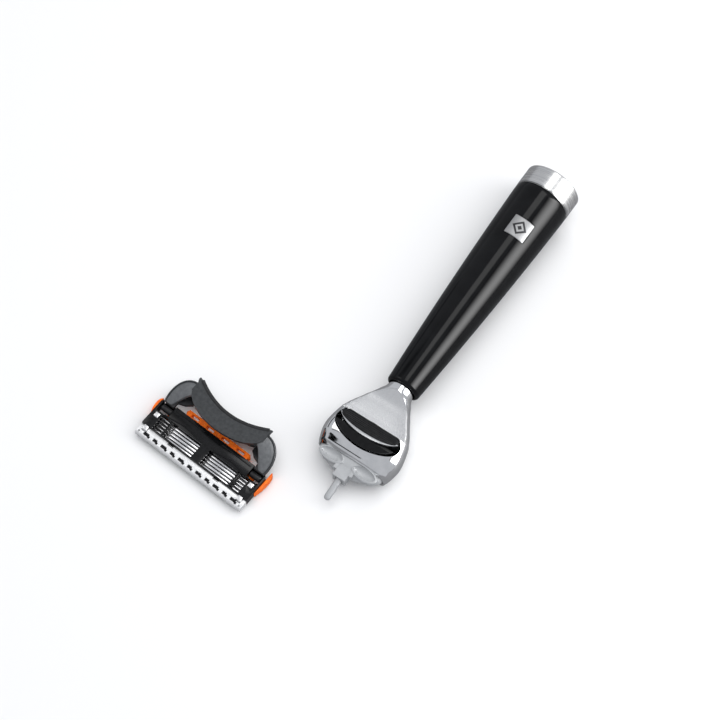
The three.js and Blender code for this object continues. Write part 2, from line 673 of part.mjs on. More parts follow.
piece(handle, 'eject_button', ejectButton(), FINISHES.blackPlastic);
piece(handle, 'button_pad', buttonPad(), FINISHES.rubber);
piece(handle, 'button_rim', buttonRim(), FINISHES.silverPaint);
piece(handle, 'ejector_pusher', ejectorPusher(), FINISHES.blackPlastic);

// ---------------------------------------------------------------- cartridge housing

const WINDOW_X = HALF - WINDOW_END;
const WINDOW_BACK = WINDOW_FRONT + BLADE_COUNT * BLADE_PITCH;
const CLIP_X = HALF - CLIP_INSET;
const CLIP_Y = [WINDOW_FRONT - 1.2, WINDOW_BACK - 1.2];
const FOOT_X = HALF - 1.0 - FOOT_LENGTH;
const CARRIER_TOP = HOUSING_TOP - 0.7;

function housingOutline() {
  const side = HALF - HOUSING_CORNER;
  const back = HOUSING_DEPTH - HOUSING_CORNER;
  return [
    [-HALF, 0], [HALF, 0], [HALF, back], [side, HOUSING_DEPTH], [-side, HOUSING_DEPTH], [-HALF, back],
  ];
}

function footRoom(side) {
  const [x0, x1] = [side * (FOOT_X - GAP), side * (FOOT_X + FOOT_LENGTH + GAP)].sort((a, b) => a - b);
  const radius = FOOT_RADIUS + GAP;
  const cradle = rod([x0, PIVOT_Y, PIVOT_HEIGHT], [x1, PIVOT_Y, PIVOT_HEIGHT], radius, 32);
  const above = block([x0, x1], [PIVOT_Y - radius, HOUSING_DEPTH + 1],
    [PIVOT_HEIGHT - 0.2, HOUSING_TOP + 4]);
  return cradle.add(above);
}

function housingFrame() {
  let frame = raised(housingOutline(), HOUSING_FLOOR, HOUSING_TOP);
  // The step that the trimmer carrier lies in
  frame = frame.subtract(block([-HALF - 1, HALF + 1], [-1, CARRIER_DEPTH + FINE_GAP - CARRIER_LAP],
    [HOUSING_FLOOR - 1, HOUSING_TOP + 1]));
  for (const side of [-1, 1]) {
    const [x0, x1] = [side * CENTRE_BAR / 2, side * WINDOW_X].sort((a, b) => a - b);
    frame = frame.subtract(block([x0, x1], [WINDOW_FRONT, WINDOW_BACK],
      [0, HOUSING_TOP + 1]));
    frame = frame.subtract(footRoom(side));
    for (const y of CLIP_Y) {
      const half = CLIP_WIDTH / 2 + FINE_GAP;
      frame = frame.subtract(block([side * CLIP_X - half, side * CLIP_X + half],
        [y - half, y + half], [0, HOUSING_TOP + 1]));
    }
  }
  // Room for the blades to pass under the centre bar and over the resilient arms
  frame = frame.subtract(block([-WINDOW_X - 0.5, WINDOW_X + 0.5], [WINDOW_FRONT, WINDOW_BACK],
    [0, BLADE_TOP + BLADE_TRAVEL + FINE_GAP]));
  return frame;
}

// ---------------------------------------------------------------- blades

const BLADE_TOP = 2.5;
const BLADE_HALF = WINDOW_X + 0.3;
const BEND_HEIGHT = 1.35;        // the support is upright above this and leans forward below it
const FOOT_HEIGHT = 0.72;
const EDGE_HEIGHT = 0.42;        // the cutting edge above the table
const EDGE_BACK_HEIGHT = 0.9;

function bladeSupport(y) {
  return drawnOut([
    [y, BLADE_TOP], [y, BEND_HEIGHT], [y - BLADE_FOOT, FOOT_HEIGHT],
    [y - BLADE_FOOT + BLADE_STOCK, FOOT_HEIGHT - FINE_GAP],
    [y + BLADE_STOCK, BEND_HEIGHT - 0.05], [y + BLADE_STOCK, BLADE_TOP],
  ], -BLADE_HALF, BLADE_HALF);
}

// The ground strip welded under the support's bent foot, sharp at its front lower edge
function bladeEdge(y) {
  const half = BLADE_HALF - 0.6;
  return drawnOut([
    [y - 0.5, EDGE_HEIGHT], [y - EDGE_STOCK, EDGE_HEIGHT - FINE_GAP],
    [y + EDGE_STOCK + 0.28, EDGE_BACK_HEIGHT], [y + 0.36, EDGE_BACK_HEIGHT + 0.1],
    [y - 0.06, EDGE_HEIGHT + 0.08],
  ], -half, half);
}

piece(cartridge, 'housing_frame', housingFrame(), FINISHES.blackPlastic);
for (let i = 0; i < BLADE_COUNT; i++) {
  const y = WINDOW_FRONT + (i + 0.5) * BLADE_PITCH;
  piece(cartridge, `blade_support_${i + 1}`, bladeSupport(y), FINISHES.steel);
  piece(cartridge, `blade_edge_${i + 1}`, bladeEdge(y), FINISHES.steel);
}

// ---------------------------------------------------------------- trimmer, strip, guard, clips

function trimmerCarrier() {
  const back = CARRIER_DEPTH - CARRIER_LAP;
  let carrier = drawnOut([
    [-CARRIER_NOSE, CARRIER_FLOOR], [-CARRIER_NOSE, CARRIER_TOP - CARRIER_NOSE], [0, CARRIER_TOP],
    [back, CARRIER_TOP], [back, CARRIER_FLOOR],
  ], -HALF, HALF);
  const pitch = CARTRIDGE_LENGTH / 10;
  for (let i = -4; i <= 4; i++) {
    const x = i * pitch;
    carrier = carrier.subtract(block([x - NOTCH_LENGTH / 2, x + NOTCH_LENGTH / 2], [0.1, 0.7],
      [CARRIER_TOP - NOTCH_DEPTH, CARRIER_TOP + 1]));
  }
  for (const side of [-1, 1]) {
    carrier = carrier.subtract(rod([side * (HALF - 0.9), 0.5, 1], [side * (HALF - 0.9), 0.5, 5],
      0.35, 12));
    const half = CLIP_WIDTH / 2 + FINE_GAP;
    carrier = carrier.subtract(block([side * CLIP_X - half, side * CLIP_X + half],
      [CLIP_Y[0] - half, CLIP_Y[0] + half], [0, HOUSING_TOP + 1]));
  }
  return carrier;
}

function trimmerBlade() {
  const top = CARRIER_FLOOR - FINE_GAP;
  let blade = block([-HALF + 3, HALF - 3], [-0.5, 1.0], [top - TRIMMER_STOCK, top]);
  for (let x = -HALF + 4; x < HALF - 4; x += TRIMMER_PITCH) {
    blade = blade.subtract(block([x, x + TRIMMER_SLOT], [-1, 0], [0, 3]));
  }
  return blade;
}

function lubricatingStrip() {
  return block([-WINDOW_X, WINDOW_X], [0.6, CARRIER_DEPTH - 1], [0, STRIP_TOP]);
}

// The soft guard: a finned band on the skin side, a ladder rail past the edge, two end wings
function guardStrip() {
  const back = HOUSING_DEPTH + FINE_GAP;
  const half = GUARD_LENGTH / 2;
  const band = block([-WINDOW_X, WINDOW_X], [WINDOW_BACK + 0.3, back],
    [GUARD_LOW, HOUSING_FLOOR - FINE_GAP]);
  const rail = block([-half, half], [back - 0.01, back + GUARD_OVERHANG], [GUARD_LOW, RAIL_TOP]);
  let guard = band.add(rail);
  for (let i = 0; i < RAIL_SLOTS; i++) {
    const x = (i - (RAIL_SLOTS - 1) / 2) * (GUARD_LENGTH / RAIL_SLOTS);
    guard = guard.subtract(block([x - RAIL_SLOT_LENGTH / 2, x + RAIL_SLOT_LENGTH / 2],
      [back + 0.35, back + GUARD_OVERHANG - RAIL_EDGE], [-1, RAIL_TOP + 1]));
  }
  for (let y = WINDOW_BACK + 0.9; y < HOUSING_DEPTH - 0.5; y += FIN_PITCH) {
    guard = guard.subtract(block([-WINDOW_X + 1, WINDOW_X - 1], [y, y + FIN_GROOVE], [0, 0.62]));
  }
  return guard;
}

function guardWing(side) {
  const inner = side * (HALF + FINE_GAP);
  const outer = side * (HALF + WING_REACH);
  return raised([
    [inner, CARRIER_DEPTH + 1.2], [outer, CARRIER_DEPTH + 4], [outer, HOUSING_DEPTH + 0.4],
    [inner, HOUSING_DEPTH + 1.6],
  ], 0.5, WING_TOP);
}

function clip(side) {
  const half = CLIP_WIDTH / 2;
  const x = side * CLIP_X;
  const span = [CLIP_Y[0] - half, CLIP_Y[1] + half];
  let band = block([x - half, x + half], span, [0, CLIP_STOCK]);
  for (const y of CLIP_Y) {
    band = band.add(block([x - half, x + half], [y - half, y + half],
      [0, HOUSING_TOP + CLIP_PROUD]));
  }
  return band;
}

piece(cartridge, 'trimmer_carrier', trimmerCarrier(), FINISHES.aluminium);
piece(cartridge, 'trimmer_blade', trimmerBlade(), FINISHES.steel);
piece(cartridge, 'lubricating_strip', lubricatingStrip(), FINISHES.green);
piece(cartridge, 'guard_strip', guardStrip(), FINISHES.orange);
piece(cartridge, 'guard_wing_left', guardWing(-1), FINISHES.orange);
piece(cartridge, 'guard_wing_right', guardWing(1), FINISHES.orange);
piece(cartridge, 'clip_left', clip(-1), FINISHES.aluminium);
piece(cartridge, 'clip_right', clip(1), FINISHES.aluminium);

// ---------------------------------------------------------------- yoke

const SADDLE_Y = HOUSING_DEPTH + SADDLE_FROM_BACK;
const HORN_X = NOSE_WIDTH / 2 + RECEIVER_CLEAR + 2 * YOKE_WALL;
const POCKET_LOW = NOSE_Z - NOSE_HEIGHT / 2 - RECEIVER_CLEAR;
const POCKET_HIGH = NOSE_Z + NOSE_HEIGHT / 2 + RECEIVER_CLEAR;

// The saddle: a hollow arc that faces the handle and ends in the two horns
function saddleArc(spare, steps = 16) {
  return Array.from({ length: steps + 1 }, (_, i) => {
    const x = HORN_X * (1 - (2 * i) / steps);
    return [x, SADDLE_Y + spare + HORN_REACH * (x / HORN_X) ** 2];
  });
}

function yoke() {
  const front = ellipse(0, SADDLE_Y + 0.6, HORN_X, PLATE_BOW, Math.PI, 2 * Math.PI, 20);
  const top = raised([...front, ...saddleArc(0)], POCKET_HIGH, POCKET_HIGH + YOKE_WALL);
  const floorHalf = HORN_X - YOKE_WALL;
  const floorFront = ellipse(0, SADDLE_Y + 1.2, floorHalf, FLOOR_BOW, Math.PI, 2 * Math.PI, 20);
  const floorBack = saddleArc(0).map(([x, y]) => [(x * floorHalf) / HORN_X, y]);
  const floor = raised([...floorFront, ...floorBack], POCKET_LOW - YOKE_WALL, POCKET_LOW);
  let body = top.add(floor);
  for (const side of [-1, 1]) {
    const [x0, x1] = [side * (HORN_X - 2 * YOKE_WALL), side * HORN_X].sort((a, b) => a - b);
    body = body.add(block([x0, x1], [SADDLE_Y - 0.5, SADDLE_Y + 3.0],
      [POCKET_LOW - YOKE_WALL, POCKET_HIGH + YOKE_WALL]));
    body = body.add(yokeArm(side));
  }
  return body;
}

// One arm: from the receiver's side it bows outward and comes down onto its round foot
function yokeArm(side) {
  const steps = 8;
  const start = new THREE.Vector3(HORN_X - 1.2, SADDLE_Y + 1.6, POCKET_HIGH - 0.6);
  const knee = new THREE.Vector3(FOOT_X + FOOT_LENGTH + 0.6, SADDLE_Y + 0.6, POCKET_HIGH - 0.2);
  const foot = new THREE.Vector3(FOOT_X + FOOT_LENGTH / 2, PIVOT_Y, PIVOT_HEIGHT);
  const path = new THREE.QuadraticBezierCurve3(start, knee, foot);
  const rings = [];
  for (let i = 0; i <= steps; i++) {
    const t = i / steps;
    const at = path.getPoint(t);
    const along = path.getTangent(t);
    const wide = new THREE.Vector3().crossVectors(along, new THREE.Vector3(0, -0.6, 0.8)).normalize();
    const thick = new THREE.Vector3().crossVectors(wide, along).normalize();
    const halfWide = FOOT_LENGTH / 2 - 0.15 + 3 * t * (1 - t) ** 3;
    const ring = [[-1, -1], [1, -1], [1, 1], [-1, 1]].map(([u, v]) => at.clone()
      .addScaledVector(wide, u * halfWide).addScaledVector(thick, v * ARM_STOCK / 2));
    rings.push(ring.map((p) => [side * p.x, p.y, p.z]));
  }
  const arm = loft(rings);
  const [x0, x1] = [side * FOOT_X, side * (FOOT_X + FOOT_LENGTH)].sort((a, b) => a - b);
  return arm.add(rod([x0, PIVOT_Y, PIVOT_HEIGHT], [x1, PIVOT_Y, PIVOT_HEIGHT], FOOT_RADIUS, 32));
}

piece(cartridge, 'yoke', yoke(), FINISHES.darkPlastic);

// ---------------------------------------------------------------- place over the origin

razor.updateMatrixWorld(true);
const bounds = new THREE.Box3().setFromObject(razor, true);
razor.position.set(-(bounds.min.x + bounds.max.x) / 2, -(bounds.min.y + bounds.max.y) / 2,
  -bounds.min.z);

export default razor;
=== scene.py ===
# %% [markdown]
# # A cartridge razor, part by part
# The razor is two separate things on a table. One is a weighted handle with a black resin grip,
# a steel end cap and a chrome head. The other is the five-blade cartridge that clicks onto the
# head's nose. This lesson dresses the plain solids of the CAD model, or rebuilds them finer.

# %% Load the frame
import json
import math

import bmesh
import bpy
from mathutils import Matrix, Vector

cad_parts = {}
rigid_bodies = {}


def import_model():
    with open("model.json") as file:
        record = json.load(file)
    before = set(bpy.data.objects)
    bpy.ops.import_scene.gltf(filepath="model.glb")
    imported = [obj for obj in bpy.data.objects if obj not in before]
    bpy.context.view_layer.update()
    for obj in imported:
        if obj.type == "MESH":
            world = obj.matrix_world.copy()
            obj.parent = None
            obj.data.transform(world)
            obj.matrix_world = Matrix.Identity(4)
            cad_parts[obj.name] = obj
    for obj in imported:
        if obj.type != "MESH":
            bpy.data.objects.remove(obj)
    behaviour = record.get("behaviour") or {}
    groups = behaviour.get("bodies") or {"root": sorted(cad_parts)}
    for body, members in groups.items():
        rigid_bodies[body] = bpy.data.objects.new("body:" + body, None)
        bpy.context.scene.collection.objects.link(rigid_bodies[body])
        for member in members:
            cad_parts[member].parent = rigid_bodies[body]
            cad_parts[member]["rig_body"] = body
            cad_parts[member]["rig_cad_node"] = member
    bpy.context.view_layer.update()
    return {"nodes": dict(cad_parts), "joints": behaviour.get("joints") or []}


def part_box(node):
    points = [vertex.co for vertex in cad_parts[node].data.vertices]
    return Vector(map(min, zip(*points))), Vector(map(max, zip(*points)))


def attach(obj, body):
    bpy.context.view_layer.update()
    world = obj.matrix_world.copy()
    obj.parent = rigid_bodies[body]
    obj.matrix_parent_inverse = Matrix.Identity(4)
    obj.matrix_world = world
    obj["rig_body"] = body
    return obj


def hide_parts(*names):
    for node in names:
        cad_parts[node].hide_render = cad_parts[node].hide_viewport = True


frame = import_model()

# %% [markdown]
# ## Where the two things lie
# The handle's axis runs along Y. The cartridge lies turned a few degrees, so it has a small
# frame of its own. Both are read from the CAD model, so nothing is placed by eye.

# %% Two local frames
MM = 0.001
GRIP_LOW, GRIP_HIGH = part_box("grip_barrel")
ROD_LOW, ROD_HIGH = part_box("tie_rod")
AXIS = (ROD_LOW + ROD_HIGH) / 2
HANDLE = Matrix.Translation((AXIS.x, GRIP_LOW.y, AXIS.z)) @ Matrix.Diagonal((1, -1, 1, 1))
HINGE = next(j for j in frame["joints"] if j["name"] == "cartridge_pivot")
TURN = math.atan2(HINGE["axis"][1], HINGE["axis"][0])
PIVOT_Y, PIVOT_Z = 11.0, 3.0
CARTRIDGE = (Matrix.Translation(HINGE["pos_m"]) @ Matrix.Rotation(TURN, 4, "Z")
             @ Matrix.Translation((0, -PIVOT_Y * MM, -PIVOT_Z * MM)))


def at(place, x, y, z):
    """A point given in millimetres in a local frame. On the handle, y counts ahead of the grip."""
    return place @ Vector((x * MM, y * MM, z * MM))


print("neck end:", at(HANDLE, 0, 0, 0), "cartridge turned", round(math.degrees(TURN), 1))

# %% [markdown]
# ## A handful of bench tools
# Every piece starts as a primitive, is shaped in edit mode, and is finished with modifiers.
# The loaded solids stay selected, so each step first drops the selection.

# %% Selecting and editing
MERGE_WITHIN = 1e-6  # metres


def drop_selection():
    if bpy.context.mode != "OBJECT":
        bpy.ops.object.mode_set(mode="OBJECT")
    bpy.ops.object.select_all(action="DESELECT")


def take(piece):
    drop_selection()
    piece.select_set(True)
    bpy.context.view_layer.objects.active = piece


def named(name):
    piece = bpy.context.active_object
    piece.name = name
    piece.data.name = name
    return piece


def open_mesh(piece, kind="VERT", action="SELECT"):
    """Enters edit mode with all of the mesh selected, or with none of it."""
    take(piece)
    bpy.ops.object.mode_set(mode="EDIT")
    bpy.ops.mesh.select_mode(type=kind)
    bpy.ops.mesh.select_all(action=action)


def close_mesh(piece):
    """Merges doubles, turns the faces outwards and leaves edit mode."""
    bpy.ops.mesh.select_all(action="SELECT")
    bpy.ops.mesh.remove_doubles(threshold=MERGE_WITHIN)
    bpy.ops.mesh.normals_make_consistent(inside=False)
    bpy.ops.object.mode_set(mode="OBJECT")
    return piece


def extrude(move):
    bpy.ops.mesh.extrude_region_move(TRANSFORM_OT_translate={"value": move})


def apply_place():
    bpy.ops.object.transform_apply(location=True, rotation=True, scale=True)


def put(piece, place):
    """Moves a mesh to its local frame. The handle's frame mirrors, so faces are turned again."""
    piece.data.transform(place)
    open_mesh(piece)
    return close_mesh(piece)


def close_open_end(piece):
    open_mesh(piece, "EDGE", "DESELECT")
    bpy.ops.mesh.select_non_manifold()
    bpy.ops.mesh.edge_face_add()
    return close_mesh(piece)


# %% Modifiers that finish a piece
def apply_modifier(piece, modifier):
    take(piece)
    bpy.ops.object.modifier_apply(modifier=modifier.name)


def cut(piece, tool, how="DIFFERENCE"):
    modifier = piece.modifiers.new("cut", "BOOLEAN")
    modifier.operation = how
    modifier.solver = "EXACT"
    modifier.object = tool
    apply_modifier(piece, modifier)
    bpy.data.objects.remove(tool, do_unlink=True)
    return piece


def ease_edges(piece, width, segments=3, sharper_than=32, smooth=38):
    """Rounds the sharp edges a little, as any moulded or ground piece has them."""
    modifier = piece.modifiers.new("eased", "BEVEL")
    modifier.width = width * MM
    modifier.segments = segments
    modifier.limit_method = "ANGLE"
    modifier.angle_limit = math.radians(sharper_than)
    apply_modifier(piece, modifier)
    bpy.ops.object.shade_smooth_by_angle(angle=math.radians(smooth))
    return piece


def settle(piece, body, slot, look, *nodes, ease=0, **easing):
    """Finishes a piece: edges, place into the mesh, finish, body, and what it stands for."""
    if ease:
        ease_edges(piece, ease, **easing)
    take(piece)
    apply_place()
    if not piece.data.materials:
        piece.data.materials.append(look)
    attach(piece, body)
    if nodes:
        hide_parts(*nodes)
    drop_selection()
    print(piece.name, "faces:", len(piece.data.polygons))


def dress(node, look):
    """Gives a CAD solid that stays as it is a better finish."""
    for node_slot in frame["nodes"][node].material_slots:
        node_slot.material = look


# %% Primitives shaped into stock
def turned(name, outline, steps=128, place=HANDLE):
    """A lathe-turned piece: a circle round the Y axis, extruded and resized ring by ring."""
    first_radius, first_y = outline[0]
    drop_selection()
    bpy.ops.mesh.primitive_circle_add(vertices=steps, radius=first_radius * MM,
                                      location=(0, first_y * MM, 0), rotation=(math.pi / 2, 0, 0))
    piece = named(name)
    apply_place()
    open_mesh(piece)
    radius, y = outline[0]
    for next_radius, next_y in outline[1:]:
        extrude((0, (next_y - y) * MM, 0))
        ratio = next_radius / radius
        bpy.ops.transform.resize(value=(ratio, 1, ratio), center_override=(0, next_y * MM, 0))
        radius, y = next_radius, next_y
    close_mesh(piece)
    return put(piece, place)


def plate(name, outline, low, high, place=CARTRIDGE):
    """A plate sawn to a plan outline: a disc whose rim goes to the outline, then extruded."""
    drop_selection()
    bpy.ops.mesh.primitive_circle_add(vertices=len(outline), radius=0.01, fill_type="NGON")
    piece = named(name)
    for vertex, (x, y) in zip(piece.data.vertices, outline):
        vertex.co = (x * MM, y * MM, low * MM)
    open_mesh(piece, "FACE")
    extrude((0, 0, (high - low) * MM))
    close_mesh(piece)
    return put(piece, place)


def bar(name, corner, opposite, place=CARTRIDGE):
    """A squared bar between two opposite corners in a local frame, in millimetres."""
    drop_selection()
    middle = [(a + b) / 2 * MM for a, b in zip(corner, opposite)]
    size = [abs(b - a) * MM for a, b in zip(corner, opposite)]
    bpy.ops.mesh.primitive_cube_add(size=1, location=middle, scale=size)
    piece = named(name)
    apply_place()
    return put(piece, place)


def round_post(name, start, end, radius, place=CARTRIDGE, steps=48):
    """A round bar between two points in a local frame, in millimetres."""
    a = place @ (Vector(start) * MM)
    b = place @ (Vector(end) * MM)
    drop_selection()
    bpy.ops.mesh.primitive_cylinder_add(vertices=steps, radius=radius * MM,
                                        depth=(b - a).length, location=(a + b) / 2)
    piece = named(name)
    piece.rotation_mode = "QUATERNION"
    piece.rotation_quaternion = Vector((0, 0, 1)).rotation_difference((b - a).normalized())
    apply_place()
    return piece


def pebble(name, centre, radii, place=CARTRIDGE, steps=48):
    """A ball squeezed to three radii in a local frame, in millimetres."""
    drop_selection()
    bpy.ops.mesh.primitive_uv_sphere_add(segments=steps, ring_count=steps // 2, radius=1)
    piece = named(name)
    piece.data.transform(Matrix.Diagonal([r * MM for r in radii] + [1]))
    piece.data.transform(Matrix.Translation(Vector(centre) * MM))
    return put(piece, place)


def skinned(name, rings, place=CARTRIDGE):
    """A skin through rings of points: a circle extruded once for each ring, then moved to it."""
    count = len(rings[0])
    drop_selection()
    bpy.ops.mesh.primitive_circle_add(vertices=count, radius=1)
    piece = named(name)
    for vertex, point in zip(piece.data.vertices, rings[0]):
        vertex.co = Vector(point) * MM
    open_mesh(piece)
    bpy.ops.mesh.edge_face_add()
    before = rings[0]
    for ring in rings[1:]:
        extrude((0, 0, 0))
        mesh = bmesh.from_edit_mesh(piece.data)
        spots = [Vector(point) * MM for point in before]
        for vertex in [v for v in mesh.verts if v.select]:
            nearest = min(range(count), key=lambda i: (spots[i] - vertex.co).length_squared)
            vertex.co = Vector(ring[nearest]) * MM
        bmesh.update_edit_mesh(piece.data)
        before = ring
    close_mesh(piece)
    return put(piece, place)


def copy_of(node, name):
    """A CAD solid's own shape as a new piece: merged, and its flat faces made whole again."""
    piece = frame["nodes"][node].copy()
    piece.data = frame["nodes"][node].data.copy()
    piece.name = name
    piece.data.name = name
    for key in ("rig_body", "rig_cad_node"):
        if key in piece:
            del piece[key]
    piece.parent = None
    bpy.context.scene.collection.objects.link(piece)
    piece.data.materials.clear()
    open_mesh(piece)
    bpy.ops.mesh.remove_doubles(threshold=2 * MERGE_WITHIN)
    bpy.ops.mesh.dissolve_limited(angle_limit=math.radians(1))
    bpy.ops.object.mode_set(mode="OBJECT")
    return piece


print("bench tools ready")

# %% [markdown]
# ## The studio
# A small shiny thing looks its best in a light tent: a white table, two big soft lights, and a
# few bright and dark cards that only show as reflections. The cards give chrome its contrast
# and draw the long soft line down the black grip. To the mirrors, the table counts as grey, as
# if black flags stood low round the razor, so that the chrome gets a dark outline.


# %% Helpers for shader nodes
def graph(look):
    look.use_nodes = True
    return look.node_tree.nodes, look.node_tree.links


def dial(node, socket, value):
    node.inputs[socket].default_value = value


def math_node(nodes, operation):
    node = nodes.new("ShaderNodeMath")
    node.operation = operation
    return node


# %% Table, soft light and cards
def staged(piece, look, in_camera):
    piece.data.materials.append(look)
    piece.visible_camera = in_camera
    if not in_camera:
        piece.visible_diffuse = False
        piece.visible_shadow = False
        piece.visible_transmission = False
    return piece


def glow(name, colour, strength, feathered):
    """A card's light. A feathered card fades to nothing at its two long sides."""
    look = bpy.data.materials.new(name)
    nodes, links = graph(look)
    nodes.clear()
    shine = nodes.new("ShaderNodeEmission")
    dial(shine, "Color", (*colour, 1))
    dial(shine, "Strength", strength)
    if feathered:
        where = nodes.new("ShaderNodeTexCoord")
        split = nodes.new("ShaderNodeSeparateXYZ")
        fade = nodes.new("ShaderNodeValToRGB")
        fade.color_ramp.interpolation = "EASE"
        fade.color_ramp.elements[1].color = (0, 0, 0, 1)
        fade.color_ramp.elements.new(0.5).color = (1, 1, 1, 1)
        scaled = math_node(nodes, "MULTIPLY")
        dial(scaled, 1, strength)
        links.new(where.outputs["UV"], split.inputs["Vector"])
        links.new(split.outputs["X"], fade.inputs["Fac"])
        links.new(fade.outputs["Color"], scaled.inputs[0])
        links.new(scaled.outputs[0], shine.inputs["Strength"])
    output = nodes.new("ShaderNodeOutputMaterial")
    links.new(shine.outputs["Emission"], output.inputs["Surface"])
    return look


def card(name, toward, distance, width, height, strength, feathered=False, tilt=0):
    """A card seen only in reflections, facing the razor from one direction."""
    direction = Vector(toward).normalized()
    drop_selection()
    bpy.ops.mesh.primitive_plane_add(size=1)
    piece = named(name)
    turn = (-direction).to_track_quat("Z", "Y").to_matrix().to_4x4()
    spin = Matrix.Rotation(math.radians(tilt), 4, "Z")
    size = Matrix.Diagonal((width, height, 1, 1))
    piece.data.transform(Matrix.Translation(direction * distance) @ turn @ spin @ size)
    return staged(piece, glow(name, (1, 1, 1), strength, feathered), False)


TABLE_SIDE, TABLE_DROP = 6.0, 0.00005  # metres
drop_selection()
bpy.ops.mesh.primitive_plane_add(size=TABLE_SIDE, location=(0, 0, -TABLE_DROP))
table = named("table")
table_look = bpy.data.materials.new("white_table")
table_nodes, table_links = graph(table_look)
table_shader = table_nodes["Principled BSDF"]
ray_kind = table_nodes.new("ShaderNodeLightPath")
table_tone = table_nodes.new("ShaderNodeMix")
table_tone.data_type = "RGBA"
dial(table_tone, "A", (0.86, 0.86, 0.86, 1))
dial(table_tone, "B", (0.22, 0.22, 0.225, 1))
table_links.new(ray_kind.outputs["Is Glossy Ray"], table_tone.inputs["Factor"])
table_links.new(table_tone.outputs["Result"], table_shader.inputs["Base Color"])
dial(table_shader, "Roughness", 0.75)
dial(table_shader, "Specular IOR Level", 0.2)
staged(table, table_look, True)

world = bpy.data.worlds.new("light_tent")
world.use_nodes = True
sky = world.node_tree.nodes["Background"]
dial(sky, "Color", (0.93, 0.95, 1.0, 1))
dial(sky, "Strength", 0.55)
bpy.context.scene.world = world


def soft_light(name, toward, distance, size, power, in_gloss):
    data = bpy.data.lights.new(name, "AREA")
    data.shape = "SQUARE"
    data.size = size
    data.energy = power
    lamp = bpy.data.objects.new(name, data)
    bpy.context.scene.collection.objects.link(lamp)
    direction = Vector(toward).normalized()
    lamp.location = direction * distance
    lamp.rotation_euler = (-direction).to_track_quat("-Z", "Y").to_euler()
    lamp.visible_glossy = in_gloss
    return lamp


soft_light("tent_top", (0.1, 0.15, 1), 0.9, 1.1, 7.0, False)
soft_light("tent_side", (0.9, 0.5, 0.7), 1.0, 0.6, 2.2, False)
card("long_side_card", (0.82, 0.34, 0.47), 0.62, 0.70, 0.5, 12.0, feathered=True, tilt=90)
card("narrow_top_card", (0.05, 0.42, 0.905), 0.63, 0.22, 0.36, 2.9)
card("bright_left_card", (-0.66, -0.08, 0.72), 0.6, 0.42, 0.30, 2.2, feathered=True)
card("dark_front_card", (-0.35, -0.80, 0.22), 0.5, 0.30, 0.07, 0.0)
card("dark_left_card", (-0.90, 0.05, 0.20), 0.5, 0.35, 0.06, 0.0)
scene = bpy.context.scene
scene.view_settings.view_transform = "Standard"
scene.view_settings.look = "None"
scene.view_settings.exposure = 0.0

# %% [markdown]
# ## The camera
# A long lens stands well above the table, off the handle's head end and to one side, so the
# handle runs up to the right and the cartridge lies on the left.

# %% A long lens from above
LOOK_AT = Vector((7.85, -12.82, 9.46)) * MM
AZIMUTH, ELEVATION, DISTANCE = math.radians(34.3), math.radians(65), 0.8
view_from = Vector((math.cos(ELEVATION) * math.sin(AZIMUTH),
                    -math.cos(ELEVATION) * math.cos(AZIMUTH), math.sin(ELEVATION)))
camera_data = bpy.data.cameras.new("camera")
camera_data.lens = 130
camera_data.sensor_width = 36
camera_data.clip_start = 0.01
camera = bpy.data.objects.new("camera", camera_data)
scene.collection.objects.link(camera)
camera.location = LOOK_AT + view_from * DISTANCE
camera.rotation_euler = (-view_from).to_track_quat("-Z", "Y").to_euler()
scene.camera = camera
print("camera at", [round(c, 3) for c in camera.location])

# %% [markdown]
# ## How a finish is built
# No real surface is one flat colour. Each finish mixes two close tints with a fine noise, lets
# the polish wander a little, and raises a relief of the right size: brushing on steel, a faint
# orange peel in resin, a spark-eroded grain on moulded plastic.


# %% Tools for finishes
def new_finish(name, metallic=0.0, level=0.5):
    look = bpy.data.materials.new(name)
    nodes, links = graph(look)
    dial(nodes["Principled BSDF"], "Metallic", metallic)
    dial(nodes["Principled BSDF"], "Specular IOR Level", level)
    return look


def mapping(look):
    """A Mapping node that moves, turns or stretches the Object coordinates of a pattern."""
    nodes, links = graph(look)
    where = nodes.new("ShaderNodeTexCoord")
    lay = nodes.new("ShaderNodeMapping")
    links.new(where.outputs["Object"], lay.inputs["Vector"])
    return lay


def noise_from(look, coordinates, size, detail):
    """Noise with a feature size in millimetres."""
    nodes, links = graph(look)
    noise = nodes.new("ShaderNodeTexNoise")
    dial(noise, "Scale", 1 / (size * MM))
    dial(noise, "Detail", detail)
    links.new(coordinates.outputs["Vector"], noise.inputs["Vector"])
    return noise.outputs["Fac"]


def grain(look, size, stretch=(1, 1, 1), detail=3.0, turn=0.0):
    """Noise, drawn out along an axis by a stretch factor under 1."""
    lay = mapping(look)
    dial(lay, "Scale", stretch)
    dial(lay, "Rotation", (0, 0, turn))
    return noise_from(look, lay, size, detail)


def tint(look, pattern, first, second):
    """The base colour goes from one tint to the other over the middle of the noise's range."""
    nodes, links = graph(look)
    ramp = nodes.new("ShaderNodeValToRGB")
    ramp.color_ramp.elements[0].position = 0.35
    ramp.color_ramp.elements[1].position = 0.65
    ramp.color_ramp.elements[0].color = (*first, 1)
    ramp.color_ramp.elements[1].color = (*second, 1)
    links.new(pattern, ramp.inputs["Fac"])
    links.new(ramp.outputs["Color"], nodes["Principled BSDF"].inputs["Base Color"])
    return ramp.outputs["Color"]


def polish(look, pattern, low, high):
    """The roughness wanders between two values."""
    nodes, links = graph(look)
    spread = nodes.new("ShaderNodeMapRange")
    dial(spread, "From Min", 0.3)
    dial(spread, "From Max", 0.7)
    dial(spread, "To Min", low)
    dial(spread, "To Max", high)
    links.new(pattern, spread.inputs["Value"])
    links.new(spread.outputs["Result"], nodes["Principled BSDF"].inputs["Roughness"])


